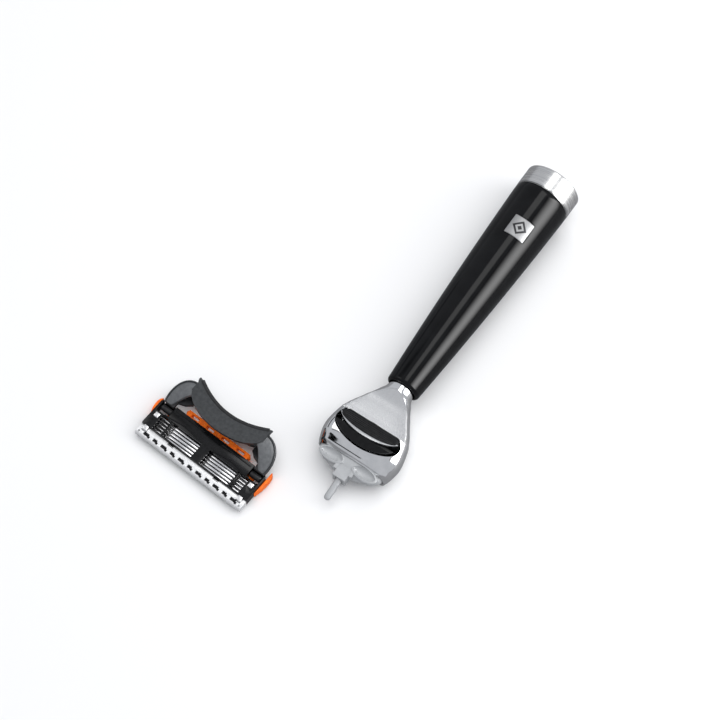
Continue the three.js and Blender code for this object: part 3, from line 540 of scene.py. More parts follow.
def relief(look, pattern, depth, strength):
    """Adds a relief, depth in millimetres, on top of any relief that the finish has already."""
    nodes, links = graph(look)
    bump = nodes.new("ShaderNodeBump")
    dial(bump, "Distance", depth * MM)
    dial(bump, "Strength", strength)
    normal = nodes["Principled BSDF"].inputs["Normal"]
    if normal.links:
        links.new(normal.links[0].from_socket, bump.inputs["Normal"])
    links.new(pattern, bump.inputs["Height"])
    links.new(bump.outputs["Normal"], normal)


print("finish tools ready")

# %% [markdown]
# ## The finishes of the handle
# The grip is cast black resin, polished until it mirrors. The cap is turned steel with fine
# rings left by the tool. The head is plated with chrome; its thumb scoop is blasted to a satin
# so that the thumb doesn't slip. The nose and the plunger are plain grey.


# %% Resin, steel and chrome
def turned_rings(look, size):
    """Fine rings round the handle's axis: noise that only changes along it and with radius."""
    nodes, links = graph(look)
    shift = mapping(look)
    dial(shift, "Location", (-AXIS.x, 0, -AXIS.z))
    split = nodes.new("ShaderNodeSeparateXYZ")
    links.new(shift.outputs["Vector"], split.inputs["Vector"])
    total = math_node(nodes, "ADD")
    for axis, term in (("X", total.inputs[0]), ("Z", total.inputs[1])):
        square = math_node(nodes, "MULTIPLY")
        links.new(split.outputs[axis], square.inputs[0])
        links.new(split.outputs[axis], square.inputs[1])
        links.new(square.outputs[0], term)
    root = math_node(nodes, "SQRT")
    join = nodes.new("ShaderNodeCombineXYZ")
    links.new(total.outputs[0], root.inputs[0])
    links.new(root.outputs[0], join.inputs["X"])
    links.new(split.outputs["Y"], join.inputs["Y"])
    return noise_from(look, join, size, 2.0)


resin = new_finish("resin_black", level=0.2)
tint(resin, grain(resin, 6.0), (0.0025, 0.0027, 0.0032), (0.0050, 0.0053, 0.0060))
polish(resin, grain(resin, 2.0, detail=6), 0.07, 0.13)
relief(resin, grain(resin, 1.8), 0.004, 0.25)
relief(resin, grain(resin, 0.12, stretch=(1, 0.08, 1)), 0.0006, 0.3)

steel = new_finish("satin_turned_steel", metallic=1.0)
tint(steel, turned_rings(steel, 0.25), (0.66, 0.665, 0.67), (0.80, 0.80, 0.795))
polish(steel, turned_rings(steel, 0.12), 0.20, 0.30)
relief(steel, turned_rings(steel, 0.07), 0.0035, 0.5)
relief(steel, grain(steel, 0.05), 0.001, 0.3)

chrome = new_finish("plated_chrome", metallic=1.0)
tint(chrome, grain(chrome, 3.0), (0.80, 0.81, 0.82), (0.88, 0.885, 0.89))
polish(chrome, grain(chrome, 1.2, detail=6), 0.045, 0.10)
relief(chrome, grain(chrome, 2.4), 0.006, 0.35)

satin = new_finish("satin_chrome", metallic=1.0)
tint(satin, grain(satin, 0.12), (0.80, 0.805, 0.81), (0.86, 0.865, 0.87))
polish(satin, grain(satin, 0.12, detail=5), 0.24, 0.32)
relief(satin, grain(satin, 0.06), 0.0015, 0.5)

zinc = new_finish("nose_grey")
tint(zinc, grain(zinc, 0.22, detail=5), (0.37, 0.38, 0.39), (0.42, 0.43, 0.44))
polish(zinc, grain(zinc, 0.4), 0.26, 0.38)
relief(zinc, grain(zinc, 0.09), 0.003, 0.5)
print("handle finishes:", [m.name for m in (resin, steel, chrome, satin, zinc)])

# %% [markdown]
# ## Finishes of the button, the badge and the small hidden parts
# The button is moulded black with a fine spark grain. Its pad is softer and duller. The rim is
# painted silver. The badge carries a plain lozenge, dark in a satin plate.


# %% Button, pad, rim, seals and spring
def moulded(name, first, second, low, high, level=0.45, grain_size=0.07, depth=0.004):
    look = new_finish(name, level=level)
    tint(look, grain(look, 1.1, detail=5), first, second)
    polish(look, grain(look, 0.3), low, high)
    relief(look, grain(look, grain_size), depth, 0.6)
    return look


button_black = moulded("button_black", (0.0035, 0.0037, 0.0040), (0.0070, 0.0073, 0.0078),
                       0.16, 0.24, level=0.25)
pad_soft = moulded("pad_soft", (0.0075, 0.0078, 0.0084), (0.0140, 0.0145, 0.0155), 0.42, 0.56,
                   level=0.2, grain_size=0.05, depth=0.006)
rim_paint = new_finish("rim_silver_paint", metallic=0.75)
tint(rim_paint, grain(rim_paint, 0.06), (0.44, 0.45, 0.46), (0.62, 0.63, 0.64))
polish(rim_paint, grain(rim_paint, 0.3), 0.26, 0.38)
relief(rim_paint, grain(rim_paint, 0.05), 0.002, 0.5)
# Near black: the own colour of the hidden inner parts, and painted shade on the yoke's webs and
# feet, which stand in the arms' shadow.
inner_black = moulded("inner_black", (0.007, 0.007, 0.008), (0.014, 0.014, 0.015), 0.38, 0.5)
seal = moulded("seal_rubber", (0.010, 0.010, 0.011), (0.020, 0.020, 0.021), 0.6, 0.8, level=0.25)
spring_steel = new_finish("spring_steel", metallic=1.0)
tint(spring_steel, grain(spring_steel, 0.4), (0.42, 0.42, 0.43), (0.56, 0.56, 0.57))
polish(spring_steel, grain(spring_steel, 0.1), 0.24, 0.36)
relief(spring_steel, grain(spring_steel, 0.08, stretch=(1, 0.3, 1)), 0.002, 0.5)

BADGE_LOW, BADGE_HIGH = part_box("badge_plate")
BADGE = (BADGE_LOW + BADGE_HIGH) / 2
BADGE_SIDE = (BADGE_HIGH.y - BADGE_LOW.y) / MM
BADGE_TURN = math.atan2(BADGE.x - AXIS.x, BADGE.z - AXIS.z)
LOZENGE_REACH = 8.0  # millimetres that the stops' shares count in
LOZENGE_STOPS = ((0.10, 1), (0.112, 0), (0.205, 0), (0.217, 1), (0.320, 1), (0.332, 0))


def lozenge_pattern(look):
    """1 inside a lozenge ring and its small core, 0 outside, from the distance |x| + |y|."""
    nodes, links = graph(look)
    shift = mapping(look)
    level_centre = Matrix.Rotation(-BADGE_TURN, 3, "Y") @ (BADGE / MM)
    dial(shift, "Location", -level_centre)
    dial(shift, "Rotation", (0, -BADGE_TURN, 0))
    dial(shift, "Scale", (1 / MM, 1 / MM, 1 / MM))
    split = nodes.new("ShaderNodeSeparateXYZ")
    links.new(shift.outputs["Vector"], split.inputs["Vector"])
    total = math_node(nodes, "ADD")
    for axis, term in (("X", total.inputs[0]), ("Y", total.inputs[1])):
        size = math_node(nodes, "ABSOLUTE")
        links.new(split.outputs[axis], size.inputs[0])
        links.new(size.outputs[0], term)
    ring = nodes.new("ShaderNodeValToRGB")
    ring.color_ramp.elements[0].color = (1, 1, 1, 1)
    ring.color_ramp.elements[1].color = (0, 0, 0, 1)
    for position, value in LOZENGE_STOPS:
        ring.color_ramp.elements.new(position).color = (value, value, value, 1)
    scale = math_node(nodes, "DIVIDE")
    dial(scale, 1, LOZENGE_REACH)
    links.new(total.outputs[0], scale.inputs[0])
    links.new(scale.outputs[0], ring.inputs["Fac"])
    return ring.outputs["Color"]


badge_look = new_finish("badge_satin", metallic=0.55)
mark = lozenge_pattern(badge_look)
plate_colour = tint(badge_look, grain(badge_look, 0.12),
                    (0.25, 0.253, 0.256), (0.34, 0.343, 0.346))
badge_nodes, badge_links = graph(badge_look)
blend_mark = badge_nodes.new("ShaderNodeMix")
blend_mark.data_type = "RGBA"
badge_links.new(mark, blend_mark.inputs["Factor"])
badge_links.new(plate_colour, blend_mark.inputs["A"])
dial(blend_mark, "B", (0.02, 0.02, 0.022, 1))
badge_links.new(blend_mark.outputs["Result"],
                badge_nodes["Principled BSDF"].inputs["Base Color"])
polish(badge_look, grain(badge_look, 0.2), 0.34, 0.46)
relief(badge_look, grain(badge_look, 0.05), 0.002, 0.5)
print("small finishes ready; badge centre", [round(c, 4) for c in BADGE])

# %% [markdown]
# ## The grip barrel
# The real barrel is cast resin, turned and polished on a lathe. A circle extruded and resized
# ring by ring gives the same gently bowed taper. The badge's square pocket is then milled into
# its top with a bar.

# %% Turn the barrel
GRIP_LENGTH = (GRIP_HIGH.y - GRIP_LOW.y) / MM
NECK_RADIUS, END_RADIUS, BOW = 5.6, (GRIP_HIGH.x - GRIP_LOW.x) / 2 / MM, 0.46
BORE_RADIUS, RECESS_RADIUS, RECESS_DEPTH = 2.3, 4.6, 2.6
SOCKET_RADIUS, SOCKET_DEPTH = 5.3, 5.5


def quarter(steps):
    """Angles from nothing to a right angle, to round a corner with."""
    return [math.pi / 2 * i / steps for i in range(steps + 1)]


def full_turn(steps):
    """Angles once round a circle."""
    return [2 * math.pi * i / steps for i in range(steps)]


def barrel_radius(along):
    share = along / GRIP_LENGTH
    return NECK_RADIUS + (END_RADIUS - NECK_RADIUS) * share + 4 * BOW * share * (1 - share)


LIP = 1.0
lip_top = barrel_radius(LIP)
lip_ring = [(lip_top - LIP + LIP * math.sin(a), -(LIP - LIP * math.cos(a)))
            for a in quarter(8)[:-1]]
side_steps = [LIP + (GRIP_LENGTH - LIP) * i / 40 for i in range(41)]
side = [(barrel_radius(s), -s) for s in side_steps]
side[-1] = (barrel_radius(GRIP_LENGTH) - 0.05, -GRIP_LENGTH)
barrel_outline = ([(BORE_RADIUS, -RECESS_DEPTH), (RECESS_RADIUS, -RECESS_DEPTH),
                   (RECESS_RADIUS, -0.2)] + lip_ring + side
                  + [(SOCKET_RADIUS, -GRIP_LENGTH), (SOCKET_RADIUS, -GRIP_LENGTH + SOCKET_DEPTH),
                     (BORE_RADIUS, -GRIP_LENGTH + SOCKET_DEPTH), (BORE_RADIUS, -RECESS_DEPTH)])
barrel = turned("grip_barrel_polished", barrel_outline)
POCKET_ROOM, POCKET_DEPTH = 0.12, 0.75
pocket_half = BADGE_SIDE / 2 + POCKET_ROOM
badge_along = (BADGE.y - GRIP_LOW.y) / MM
pocket_floor = math.sqrt(barrel_radius(badge_along) ** 2 - pocket_half ** 2) - POCKET_DEPTH
TURNED_HANDLE = HANDLE @ Matrix.Rotation(BADGE_TURN, 4, "Y")
pocket_tool = bar("pocket_tool", (-pocket_half, -badge_along - pocket_half, pocket_floor),
                  (pocket_half, -badge_along + pocket_half, 14), TURNED_HANDLE)
cut(barrel, pocket_tool)
settle(barrel, "handle", "resin", resin, "grip_barrel", ease=0.07, segments=2)

# %% [markdown]
# ## The badge
# The real badge is a thin stamped plate, glued in flush. A grid bent to the barrel's curve,
# thickened and eased, sits in the pocket with a hair of room round it.

# %% Stamp the badge
BADGE_PROUD, BADGE_THICK = 0.03, 0.4
drop_selection()
bpy.ops.mesh.primitive_grid_add(x_subdivisions=16, y_subdivisions=16, size=BADGE_SIDE * MM,
                                location=(0, -badge_along * MM, 0))
badge = named("badge_plate_stamped")
apply_place()
for vertex in badge.data.vertices:
    radius = barrel_radius(-vertex.co.y / MM) + BADGE_PROUD
    vertex.co.z = math.sqrt(radius ** 2 - (vertex.co.x / MM) ** 2) * MM
badge.data.transform(TURNED_HANDLE)
open_mesh(badge, "FACE")
extrude((0, 0, -BADGE_THICK * MM))
close_mesh(badge)
settle(badge, "handle", "satin_steel", badge_look, "badge_plate", ease=0.08, segments=2)

# %% [markdown]
# ## The end cap
# A slug of steel turned to the barrel's diameter, with a fine chamfer at the end and a thin
# bright step where it meets the resin. A spigot inside keeps it centred.

# %% Turn the cap
CAP_GAP, CAP_CHAMFER, SPIGOT_RADIUS, SPIGOT_LENGTH = 0.3, 0.45, 5.0, 4.4
face = GRIP_LENGTH + CAP_GAP
end = (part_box("end_cap")[1].y - GRIP_LOW.y) / MM
cap_outline = [(BORE_RADIUS, -(GRIP_LENGTH - SPIGOT_LENGTH)),
               (SPIGOT_RADIUS, -(GRIP_LENGTH - SPIGOT_LENGTH)), (SPIGOT_RADIUS, -face),
               (END_RADIUS - 0.30, -face), (END_RADIUS - 0.24, -face - 0.04),
               (END_RADIUS - 0.22, -face - 0.16), (END_RADIUS, -face - 0.26)]
cap_outline += [(END_RADIUS, -face - 0.3 - (end - face - 0.9) * i / 8) for i in range(9)]
cap_outline += [(END_RADIUS - CAP_CHAMFER + CAP_CHAMFER * math.cos(a),
                 -end + CAP_CHAMFER - CAP_CHAMFER * math.sin(a)) for a in quarter(6)[1:]]
cap_outline += [((END_RADIUS - CAP_CHAMFER) * s, -end) for s in (0.75, 0.5, 0.25, 0.01)]
cap = turned("end_cap_turned", cap_outline)
close_open_end(cap)
take(cap)
bpy.ops.object.shade_smooth_by_angle(angle=math.radians(38))
settle(cap, "handle", "satin_steel", steel, "end_cap")

# %% [markdown]
# ## The head
# The real head is cast, plated and polished: a round neck that spreads into a broad flat
# shell. A skin is drawn through rounded sections. The thumb scoop is dished out of its top so
# that an even ridge stays on both sides, and the button's opening and the nose's room are cut.

# %% Sections along the head
HEAD_LENGTH = 27.5
HALF_WIDTH, CROWN, DEPTH = 13.6, 4.9, AXIS.z / MM
PLUG_RADIUS = 4.25
# Where along the head, then the half width, top and underside there as shares of the three
# sizes above, and how square the section is.
STATIONS = [
    (0.06, 0.338, 0.92, 0.476, 2.0), (0.13, 0.419, 0.96, 0.52, 2.1),
    (0.275, 0.596, 1.0, 0.62, 2.3), (0.487, 0.853, 0.96, 0.81, 2.6),
    (0.618, 0.949, 0.88, 0.91, 2.8), (0.771, 1.0, 0.76, 0.985, 2.8),
    (0.873, 0.978, 0.63, 1.0, 2.7), (0.964, 0.926, 0.2, 0.97, 2.5),
    (1.0, 0.885, -0.1, 0.94, 2.4),
]


def station_at(share):
    """Smooth values between the stations, by Catmull-Rom through the four nearest ones."""
    last = len(STATIONS) - 2
    i = max(k for k in range(last + 1) if STATIONS[k][0] <= share or k == 0)
    t = (share - STATIONS[i][0]) / (STATIONS[i + 1][0] - STATIONS[i][0])
    before, after = STATIONS[max(i - 1, 0)], STATIONS[min(i + 2, last + 1)]
    here, there = STATIONS[i], STATIONS[i + 1]
    values = []
    for a, b, c, d in list(zip(before, here, there, after))[1:]:
        values.append(0.5 * (2 * b + (c - a) * t + (2 * a - 5 * b + 4 * c - d) * t * t
                             + (3 * b - a - 3 * c + d) * t ** 3))
    width, crown, depth, power = values
    return width * HALF_WIDTH, crown * CROWN, min(depth, 0.99) * DEPTH, power


def rounded_section(y, half_width, top, bottom, power, steps=96):
    """One ring across the head: an ellipse at power 2, and squarer above it."""
    middle, half = (top - bottom) / 2, (top + bottom) / 2
    ring = []
    for angle in full_turn(steps):
        c, s = math.cos(angle), math.sin(angle)
        ring.append((half_width * math.copysign(abs(c) ** (2 / power), c), y,
                     middle + half * math.copysign(abs(s) ** (2 / power), s)))
    return ring


shares = [0.06 + 0.94 * i / 56 for i in range(57)]
head_rings = [rounded_section(y, PLUG_RADIUS, PLUG_RADIUS, PLUG_RADIUS, 2.0) for y in (-1.2, 0.3)]
head_rings += [rounded_section(s * HEAD_LENGTH, *station_at(s)) for s in shares]
head = skinned("head_shell_plated", head_rings, HANDLE)
print("head rings:", len(head_rings))

# %% Dish the thumb scoop
SCOOP_START, OPENING_REAR, RIDGE, SCOOP_WALL = 2.5, 14.8, 1.25, 0.22
ROUND_WITHIN, DEEP_WITHIN = 4.6, 7
scoop_rings = []
for i in range(33):
    y = SCOOP_START + (OPENING_REAR + 0.6 - SCOOP_START) * i / 32
    width, crown, depth, power = station_at(max(y / HEAD_LENGTH, 0.06))
    arch = min(1.0, (y - SCOOP_START) / ROUND_WITHIN)
    half = max(0.02, (width - RIDGE) * math.sqrt(max(0.0, 1 - (1 - arch) ** 2.2)))
    edge = half / width
    shoulder = (1 - edge ** power) ** (1 / power)
    rim_z = (crown - depth) / 2 + (crown + depth) / 2 * shoulder
    sunk = min(1.0, (y - SCOOP_START) / DEEP_WITHIN)
    edge_z = rim_z - SCOOP_WALL
    floor_z = min(edge_z - 0.25 * sunk, crown - 0.15 - 1.55 * sunk)
    curve = [(half * (-1 + k / 14), y, floor_z + (edge_z - floor_z) * (-1 + k / 14) ** 4)
             for k in range(29)]
    scoop_rings.append(curve + [(half, y, 9.0), (-half, y, 9.0)])
scoop_tool = skinned("scoop_tool", scoop_rings, HANDLE)
for piece in (scoop_tool, head):
    piece.data.materials.append(chrome)
    piece.data.materials.append(satin)
for polygon in scoop_tool.data.polygons:
    polygon.material_index = 1
cut(head, scoop_tool)
print("satin faces:", sum(1 for p in head.data.polygons if p.material_index == 1))

# %% Cut the opening and the nose's room
OPENING_X, OPENING_Y = 11.4, 5.9
OPENING_MIDDLE = OPENING_REAR + 0.644 * OPENING_Y
oval = [(OPENING_X * math.cos(a), max(OPENING_MIDDLE + OPENING_Y * math.sin(a), OPENING_REAR))
        for a in full_turn(96)]
NOSE_X, NOSE_Z, NOSE_HALF, NOSE_ROOM = 11.3, -4.0, 3.0, 0.25
room_rings = [rounded_section(y, NOSE_X + NOSE_ROOM, NOSE_HALF + NOSE_Z + NOSE_ROOM,
                              NOSE_HALF - NOSE_Z + NOSE_ROOM, 2.6, 64)
              for y in (HEAD_LENGTH + 1, 13.6)]
for tool in (plate("opening_tool", oval, -4.0, 10.0, HANDLE),
             skinned("room_tool", room_rings, HANDLE)):
    tool.data.materials.append(chrome)
    cut(head, tool)
settle(head, "handle", "chrome", chrome, "head_shell", ease=0.14, sharper_than=28, smooth=30)

# %% [markdown]
# ## The docking nose
# The nose takes the cartridge. It is a smooth grey dome with an almond hollow on each side,
# each with a raised lip, and a boss in the middle that guides the plunger.

# %% Shape the nose
NOSE_BASE, NOSE_REACH = 27.2, 5.2
HOLLOW_X, HOLLOW_Y = 5.9, 29.3
TONGUE_X, TONGUE_HALF = 6.55, 1.4
SLOPE = math.radians(12)
LINE_END = 34.4
nose_rings = [rounded_section(y, NOSE_X, NOSE_HALF + NOSE_Z, NOSE_HALF - NOSE_Z, 2.6)
              for y in (NOSE_BASE - 2.8, NOSE_BASE - 0.4)]
for turn in quarter(18):
    wide = (NOSE_X - 0.05) * math.cos(turn) + 0.05
    high = (NOSE_HALF - 0.05) * math.cos(turn) + 0.02
    nose_rings.append(rounded_section(NOSE_BASE + NOSE_REACH * math.sin(turn), wide,
                                      high + NOSE_Z, high - NOSE_Z, 2.2))
nose = skinned("docking_nose", nose_rings, HANDLE)
for side in (-1, 1):
    cut(nose, pebble("lip", (side * HOLLOW_X, HOLLOW_Y, -1.45), (4.5, 2.3, 0.75), HANDLE), "UNION")
    cut(nose, pebble("hollow", (side * HOLLOW_X, HOLLOW_Y, -0.75), (3.9, 1.75, 1.6), HANDLE))
cut(nose, bar("boss", (-2.2, 27.3, -5.7), (2.2, LINE_END, -1.6), HANDLE), "UNION")
for side in (-1, 1):
    cut(nose, bar("guide", (side * 2.1, 29.5, -2.4), (side * 3.3, 32.4, -1.3), HANDLE), "UNION")
for side in (-1, 1):
    cut(nose, bar("tongue_slot", (side * TONGUE_X - TONGUE_HALF, 22.0, -5.7),
                  (side * TONGUE_X + TONGUE_HALF, 34.0, -3.6), HANDLE))


def on_line(y):
    """A point on the plunger's tilted line, in the handle's frame."""
    return (0, y, -3.9 + (LINE_END - y) * math.tan(SLOPE))


cut(nose, round_post("plunger_bore", on_line(18), on_line(38), 1.35, HANDLE))
settle(nose, "handle", "zinc_grey", zinc, "docking_frame", ease=0.16)

# %% [markdown]
# ## The plunger
# A round pin with a domed tip that springs against the cartridge. Turned like the barrel, then
# tipped onto its own sloping line.

# %% Turn the plunger
PIN_FOOT, PIN_OUT, PIN_RADIUS, FLANGE_RADIUS, FLANGE_THICK = 24.1, 6.0, 1.1, 1.7, 1.0
foot = Vector(on_line(PIN_FOOT)) * MM
tip_point = Vector(on_line(LINE_END + PIN_OUT * math.cos(SLOPE))) * MM
length = (tip_point - foot).length / MM
pin_outline = [(FLANGE_RADIUS, 0.0), (FLANGE_RADIUS, FLANGE_THICK), (PIN_RADIUS, FLANGE_THICK),
               (PIN_RADIUS, length * 0.55), (PIN_RADIUS, length)]
pin_outline += [(PIN_RADIUS * math.cos(a), length + PIN_RADIUS * math.sin(a))
                for a in quarter(8)[1:-1]]
lean = Matrix.Translation(foot) @ Matrix.Rotation(-SLOPE, 4, "X")
plunger = turned("plunger_pin", pin_outline, steps=48, place=HANDLE @ lean)
close_open_end(plunger)
settle(plunger, "plunger", "zinc_grey", zinc, "plunger", ease=0.08, segments=2, sharper_than=50)

# %% [markdown]
# ## The eject button
# Three pieces move as one: a black body, a ribbed soft pad let into its top, and a thin silver
# rim in front of the pad. The CAD solids already have the right shape, so copies of them get
# eased edges and the moulded finishes.

# %% Ease the button
for node, work, slot, look, width, segments in (
        ("eject_button", "moulded", "button_black", button_black, 0.22, 3),
        ("button_pad", "ribbed", "pad_rubber", pad_soft, 0.05, 2),
        ("button_rim", "painted", "rim_silver", rim_paint, 0.07, 2)):
    settle(copy_of(node, f"{node}_{work}"), "ejector", slot, look, node,
           ease=width, segments=segments)

for name, look in (("ejector_pusher", inner_black), ("cap_seal", seal), ("neck_seal", seal),
                   ("tie_rod", spring_steel), ("plunger_spring", spring_steel)):
    dress(name, look)
print("hidden parts finished")

# %% [markdown]
# ## Finishes of the cartridge
# The housing is glossy black, the blades are bright steel with a ground bevel, the carrier is
# silver, the guard is a soft orange elastomer, and the yoke is dark grey with a fine grain.

# %% Cartridge finishes
housing_black = moulded("housing_black", (0.0035, 0.0037, 0.0040), (0.0075, 0.0078, 0.0085),
                        0.12, 0.20, level=0.32)
yoke_grey = moulded("yoke_grey", (0.026, 0.028, 0.030), (0.040, 0.043, 0.046), 0.30, 0.42,
                    level=0.35, grain_size=0.09, depth=0.005)
arm_grey = moulded("yoke_arm_grey", (0.095, 0.100, 0.105), (0.130, 0.136, 0.142), 0.34, 0.46,
                   level=0.5, grain_size=0.09, depth=0.005)
orange = moulded("guard_orange", (0.90, 0.140, 0.006), (1.00, 0.200, 0.010), 0.42, 0.55,
                 level=0.25, grain_size=0.08, depth=0.006)
gel = moulded("strip_gel", (0.52, 0.60, 0.52), (0.66, 0.72, 0.66), 0.35, 0.55, grain_size=0.2,
              depth=0.02)
blade_steel = new_finish("blade_steel", metallic=1.0)
tint(blade_steel, grain(blade_steel, 0.05, stretch=(0.05, 1, 1), turn=-TURN),
     (0.80, 0.80, 0.81), (0.95, 0.95, 0.955))
polish(blade_steel, grain(blade_steel, 0.08, stretch=(0.05, 1, 1), turn=-TURN), 0.16, 0.28)
relief(blade_steel, grain(blade_steel, 0.04, stretch=(0.04, 1, 1), turn=-TURN), 0.0015, 0.5)
silver = new_finish("carrier_silver", metallic=0.35)
tint(silver, grain(silver, 0.5, detail=5), (0.74, 0.745, 0.75), (0.86, 0.865, 0.87))
polish(silver, grain(silver, 0.25), 0.28, 0.40)
relief(silver, grain(silver, 0.07), 0.003, 0.5)
aluminium = new_finish("clip_aluminium", metallic=0.8)
tint(aluminium, grain(aluminium, 0.1, stretch=(1, 0.1, 1)),
     (0.82, 0.82, 0.825), (0.93, 0.93, 0.935))
polish(aluminium, grain(aluminium, 0.15), 0.22, 0.34)
relief(aluminium, grain(aluminium, 0.06, stretch=(1, 0.1, 1)), 0.002, 0.5)
print("cartridge finishes ready")

# %% [markdown]
# ## The housing
# One glossy black moulding with two windows that the blades sit in. Behind the windows a low
# wave runs along the beam, and a comb bridges the blades near each end.

# %% Finish the housing
SIDES = ((-1, "left"), (1, "right"))
BLADES, BLADE_START, BLADE_PITCH, COMB_X = 5, 3.3, 1.08, 13.4
settle(copy_of("housing_frame", "housing_moulded"), "blade_unit", "housing_black",
       housing_black, "housing_frame", ease=0.16)


def blade_y(i):
    return BLADE_START + (i + 0.5) * BLADE_PITCH


def housing_detail(piece, **easing):
    """Finishes a small black part of the housing that no CAD solid stands for."""
    settle(piece, "blade_unit", "housing_black", housing_black, **easing)


def wave_outline(side):
    """A long low bead with a crest in its middle, along the guard side of one window."""
    back, front = [], []
    for i in range(25):
        share = i / 24
        x = side * (2.2 + 14.6 * share)
        y = 9.15 + 0.75 * math.sin(math.pi * share) ** 2 - 0.25 * share
        back.append((x, y + 0.2))
        front.append((x, y - 0.2))
    return back + front[::-1]


for side, name in SIDES:
    wave = plate(f"housing_wave_{name}", wave_outline(side), 4.1, 4.62)
    housing_detail(wave, ease=0.14, sharper_than=60)
    back_bead = bar(f"housing_bead_{name}", (side * 3.5, 12.1, 4.2), (side * 14.9, 12.5, 4.55))
    housing_detail(back_bead, ease=0.12)
    for i in range(BLADES):
        x = side * (COMB_X + 0.12 * (4 - i) * side)
        y = blade_y(i)
        tooth = bar(f"housing_comb_{name}_{i + 1}", (x - 0.75, y - 0.16, 3.15),
                    (x + 0.75, y + 0.44, 3.75))
        housing_detail(tooth, ease=0.08, segments=2)
    stay = bar(f"housing_stay_{name}", (side * COMB_X - 0.35, 3.2, 3.5),
               (side * COMB_X + 0.35, 8.8, 4.0))
    housing_detail(stay, ease=0.1)

# %% [markdown]
# ## The blades
# Each blade is a thin ground edge welded to a bent support. From behind, the broad bright band
# of each support shows, with a dark gap to the next. Each blade rides on its own body, because
# each one springs by itself.

# %% Bend the blade supports
for i in range(BLADES):
    y = blade_y(i)
    far = 12.3 + 0.35 * (i % 2)
    blade = copy_of(f"blade_support_{i + 1}", f"blade_support_bent_{i + 1}")
    for side in (-1, 1):
        flange = bar("flange", (side * 1.75, y - 0.30, 2.36), (side * far, y + 0.34, 2.5))
        cut(blade, flange, "UNION")
    settle(blade, f"blade_{i + 1}", "blade_steel", blade_steel, f"blade_support_{i + 1}",
           ease=0.03, segments=2)
    dress(f"blade_edge_{i + 1}", blade_steel)

# %% [markdown]
# ## The trimmer carrier
# A silver bar along the front edge, rounded where it meets the skin. A row of small square
# notches runs along it, with two short serrated patches and a round hole at each end.

# %% Mould the carrier
HALF, SKIN_ROUND = 20.8, 0.95
NOTCHES, NOTCH_PITCH = 11, 3.45
PATCH_X, CLIP_X, HOLE_X = 9, 18.7, 19.9
carrier = bar("trimmer_carrier_moulded", (-HALF, -0.6, 1.6), (HALF, 2.8, 3.6))
open_mesh(carrier, "EDGE", "DESELECT")
mesh = bmesh.from_edit_mesh(carrier.data)
local = CARTRIDGE.inverted()
for edge in mesh.edges:
    a, b = (local @ v.co for v in edge.verts)
    if max(a.y, b.y) < -0.5 * MM and min(a.z, b.z) > 3.5 * MM:
        edge.select_set(True)
bmesh.update_edit_mesh(carrier.data)
bpy.ops.mesh.bevel(offset=SKIN_ROUND * MM, segments=8, affect="EDGES")
close_mesh(carrier)
for i in range(NOTCHES):
    x = (i - NOTCHES // 2) * NOTCH_PITCH
    wide = 1.05 if i % 2 == 0 else 0.8
    cut(carrier, bar("notch", (x - wide, 0.2, 2.7), (x + wide, 1.3, 5)))
    cut(carrier, bar("notch_step", (x + wide - 0.3, 0.0, 2.9), (x + wide + 0.5, 0.8, 5)))
for side in (-1, 1):
    cut(carrier, round_post("hole", (side * HOLE_X, 0.35, 2.2), (side * HOLE_X, 0.35, 5), 0.36,
                            steps=24))
    cut(carrier, bar("clip_room", (side * CLIP_X - 0.98, 1.12, 0), (side * CLIP_X + 0.98, 3.1, 6)))
settle(carrier, "blade_unit", "carrier_silver", silver, "trimmer_carrier", ease=0.09, segments=2)

# %% Fit the patches, the blade, the strip and the clips
dark_floor = bar("trimmer_notch_floor", (-HALF + 2.0, 0.0, 2.9), (HALF - 2.0, 1.4, 3.12))
housing_detail(dark_floor, ease=0.03, segments=1)
for side, name in SIDES:
    patch = bar(f"trimmer_patch_{name}", (side * PATCH_X - 1.1, 2.1, 3.45),
                (side * PATCH_X + 1.1, 2.78, 3.68))
    for k in range(5):
        x = side * PATCH_X - 0.88 + 0.44 * k
        cut(patch, bar("tooth_gap", (x - 0.09, 1.9, 3.3), (x + 0.09, 2.5, 4)))
    housing_detail(patch, ease=0.03, segments=1)

dress("trimmer_blade", blade_steel)
dress("lubricating_strip", gel)
for side, name in SIDES:
    settle(copy_of(f"clip_{name}", f"clip_bent_{name}"), "blade_unit", "clip_aluminium",
           aluminium, f"clip_{name}", ease=0.16)

# %% [markdown]
# ## The soft guard
# The orange elastomer is moulded round the housing: fins on the skin side, an open ladder rail
# that shows behind the edge, and a rounded wing at each end.

# %% Mould the guard
guard = copy_of("guard_strip", "guard_rail_moulded")
for x in (-9.0, -3.0, 3.0, 9.0):
    cut(guard, bar("under_slot", (x - 1.7, 13.5, -1), (x + 1.7, 16, 2.7)))
for x in (-11.4, -6.0, 0.0, 6.0, 11.4):
    knot = pebble("knot", (x, 14.45, 2.95), (1.15, 0.85, 1.0), steps=24)
    cut(guard, knot, "UNION")
settle(guard, "blade_unit", "guard_orange", orange, "guard_strip", ease=0.12, segments=2)

# How far each wing reaches past the carrier's end, and where along the cartridge.
LEFT_REACH = [(0.12, 7.0), (0.5, 7.9), (0.95, 9.0), (1.15, 10.6), (1.1, 11.8), (0.75, 12.8),
              (0.12, 13.4)]
RIGHT_REACH = [(0.12, 6.2), (0.4, 7.4), (0.75, 9.2), (0.95, 11.2), (0.95, 12.8), (0.75, 14.2),
               (0.35, 14.9), (0.12, 14.95)]
for side, name, reach in ((-1, "left", LEFT_REACH), (1, "right", RIGHT_REACH)):
    outline = [(side * (HALF + x), y) for x, y in reach]
    wing = plate(f"guard_wing_rounded_{name}", outline, 0.5, 3.6)
    settle(wing, "blade_unit", "guard_orange", orange, f"guard_wing_{name}",
           ease=0.4, segments=4, sharper_than=50)
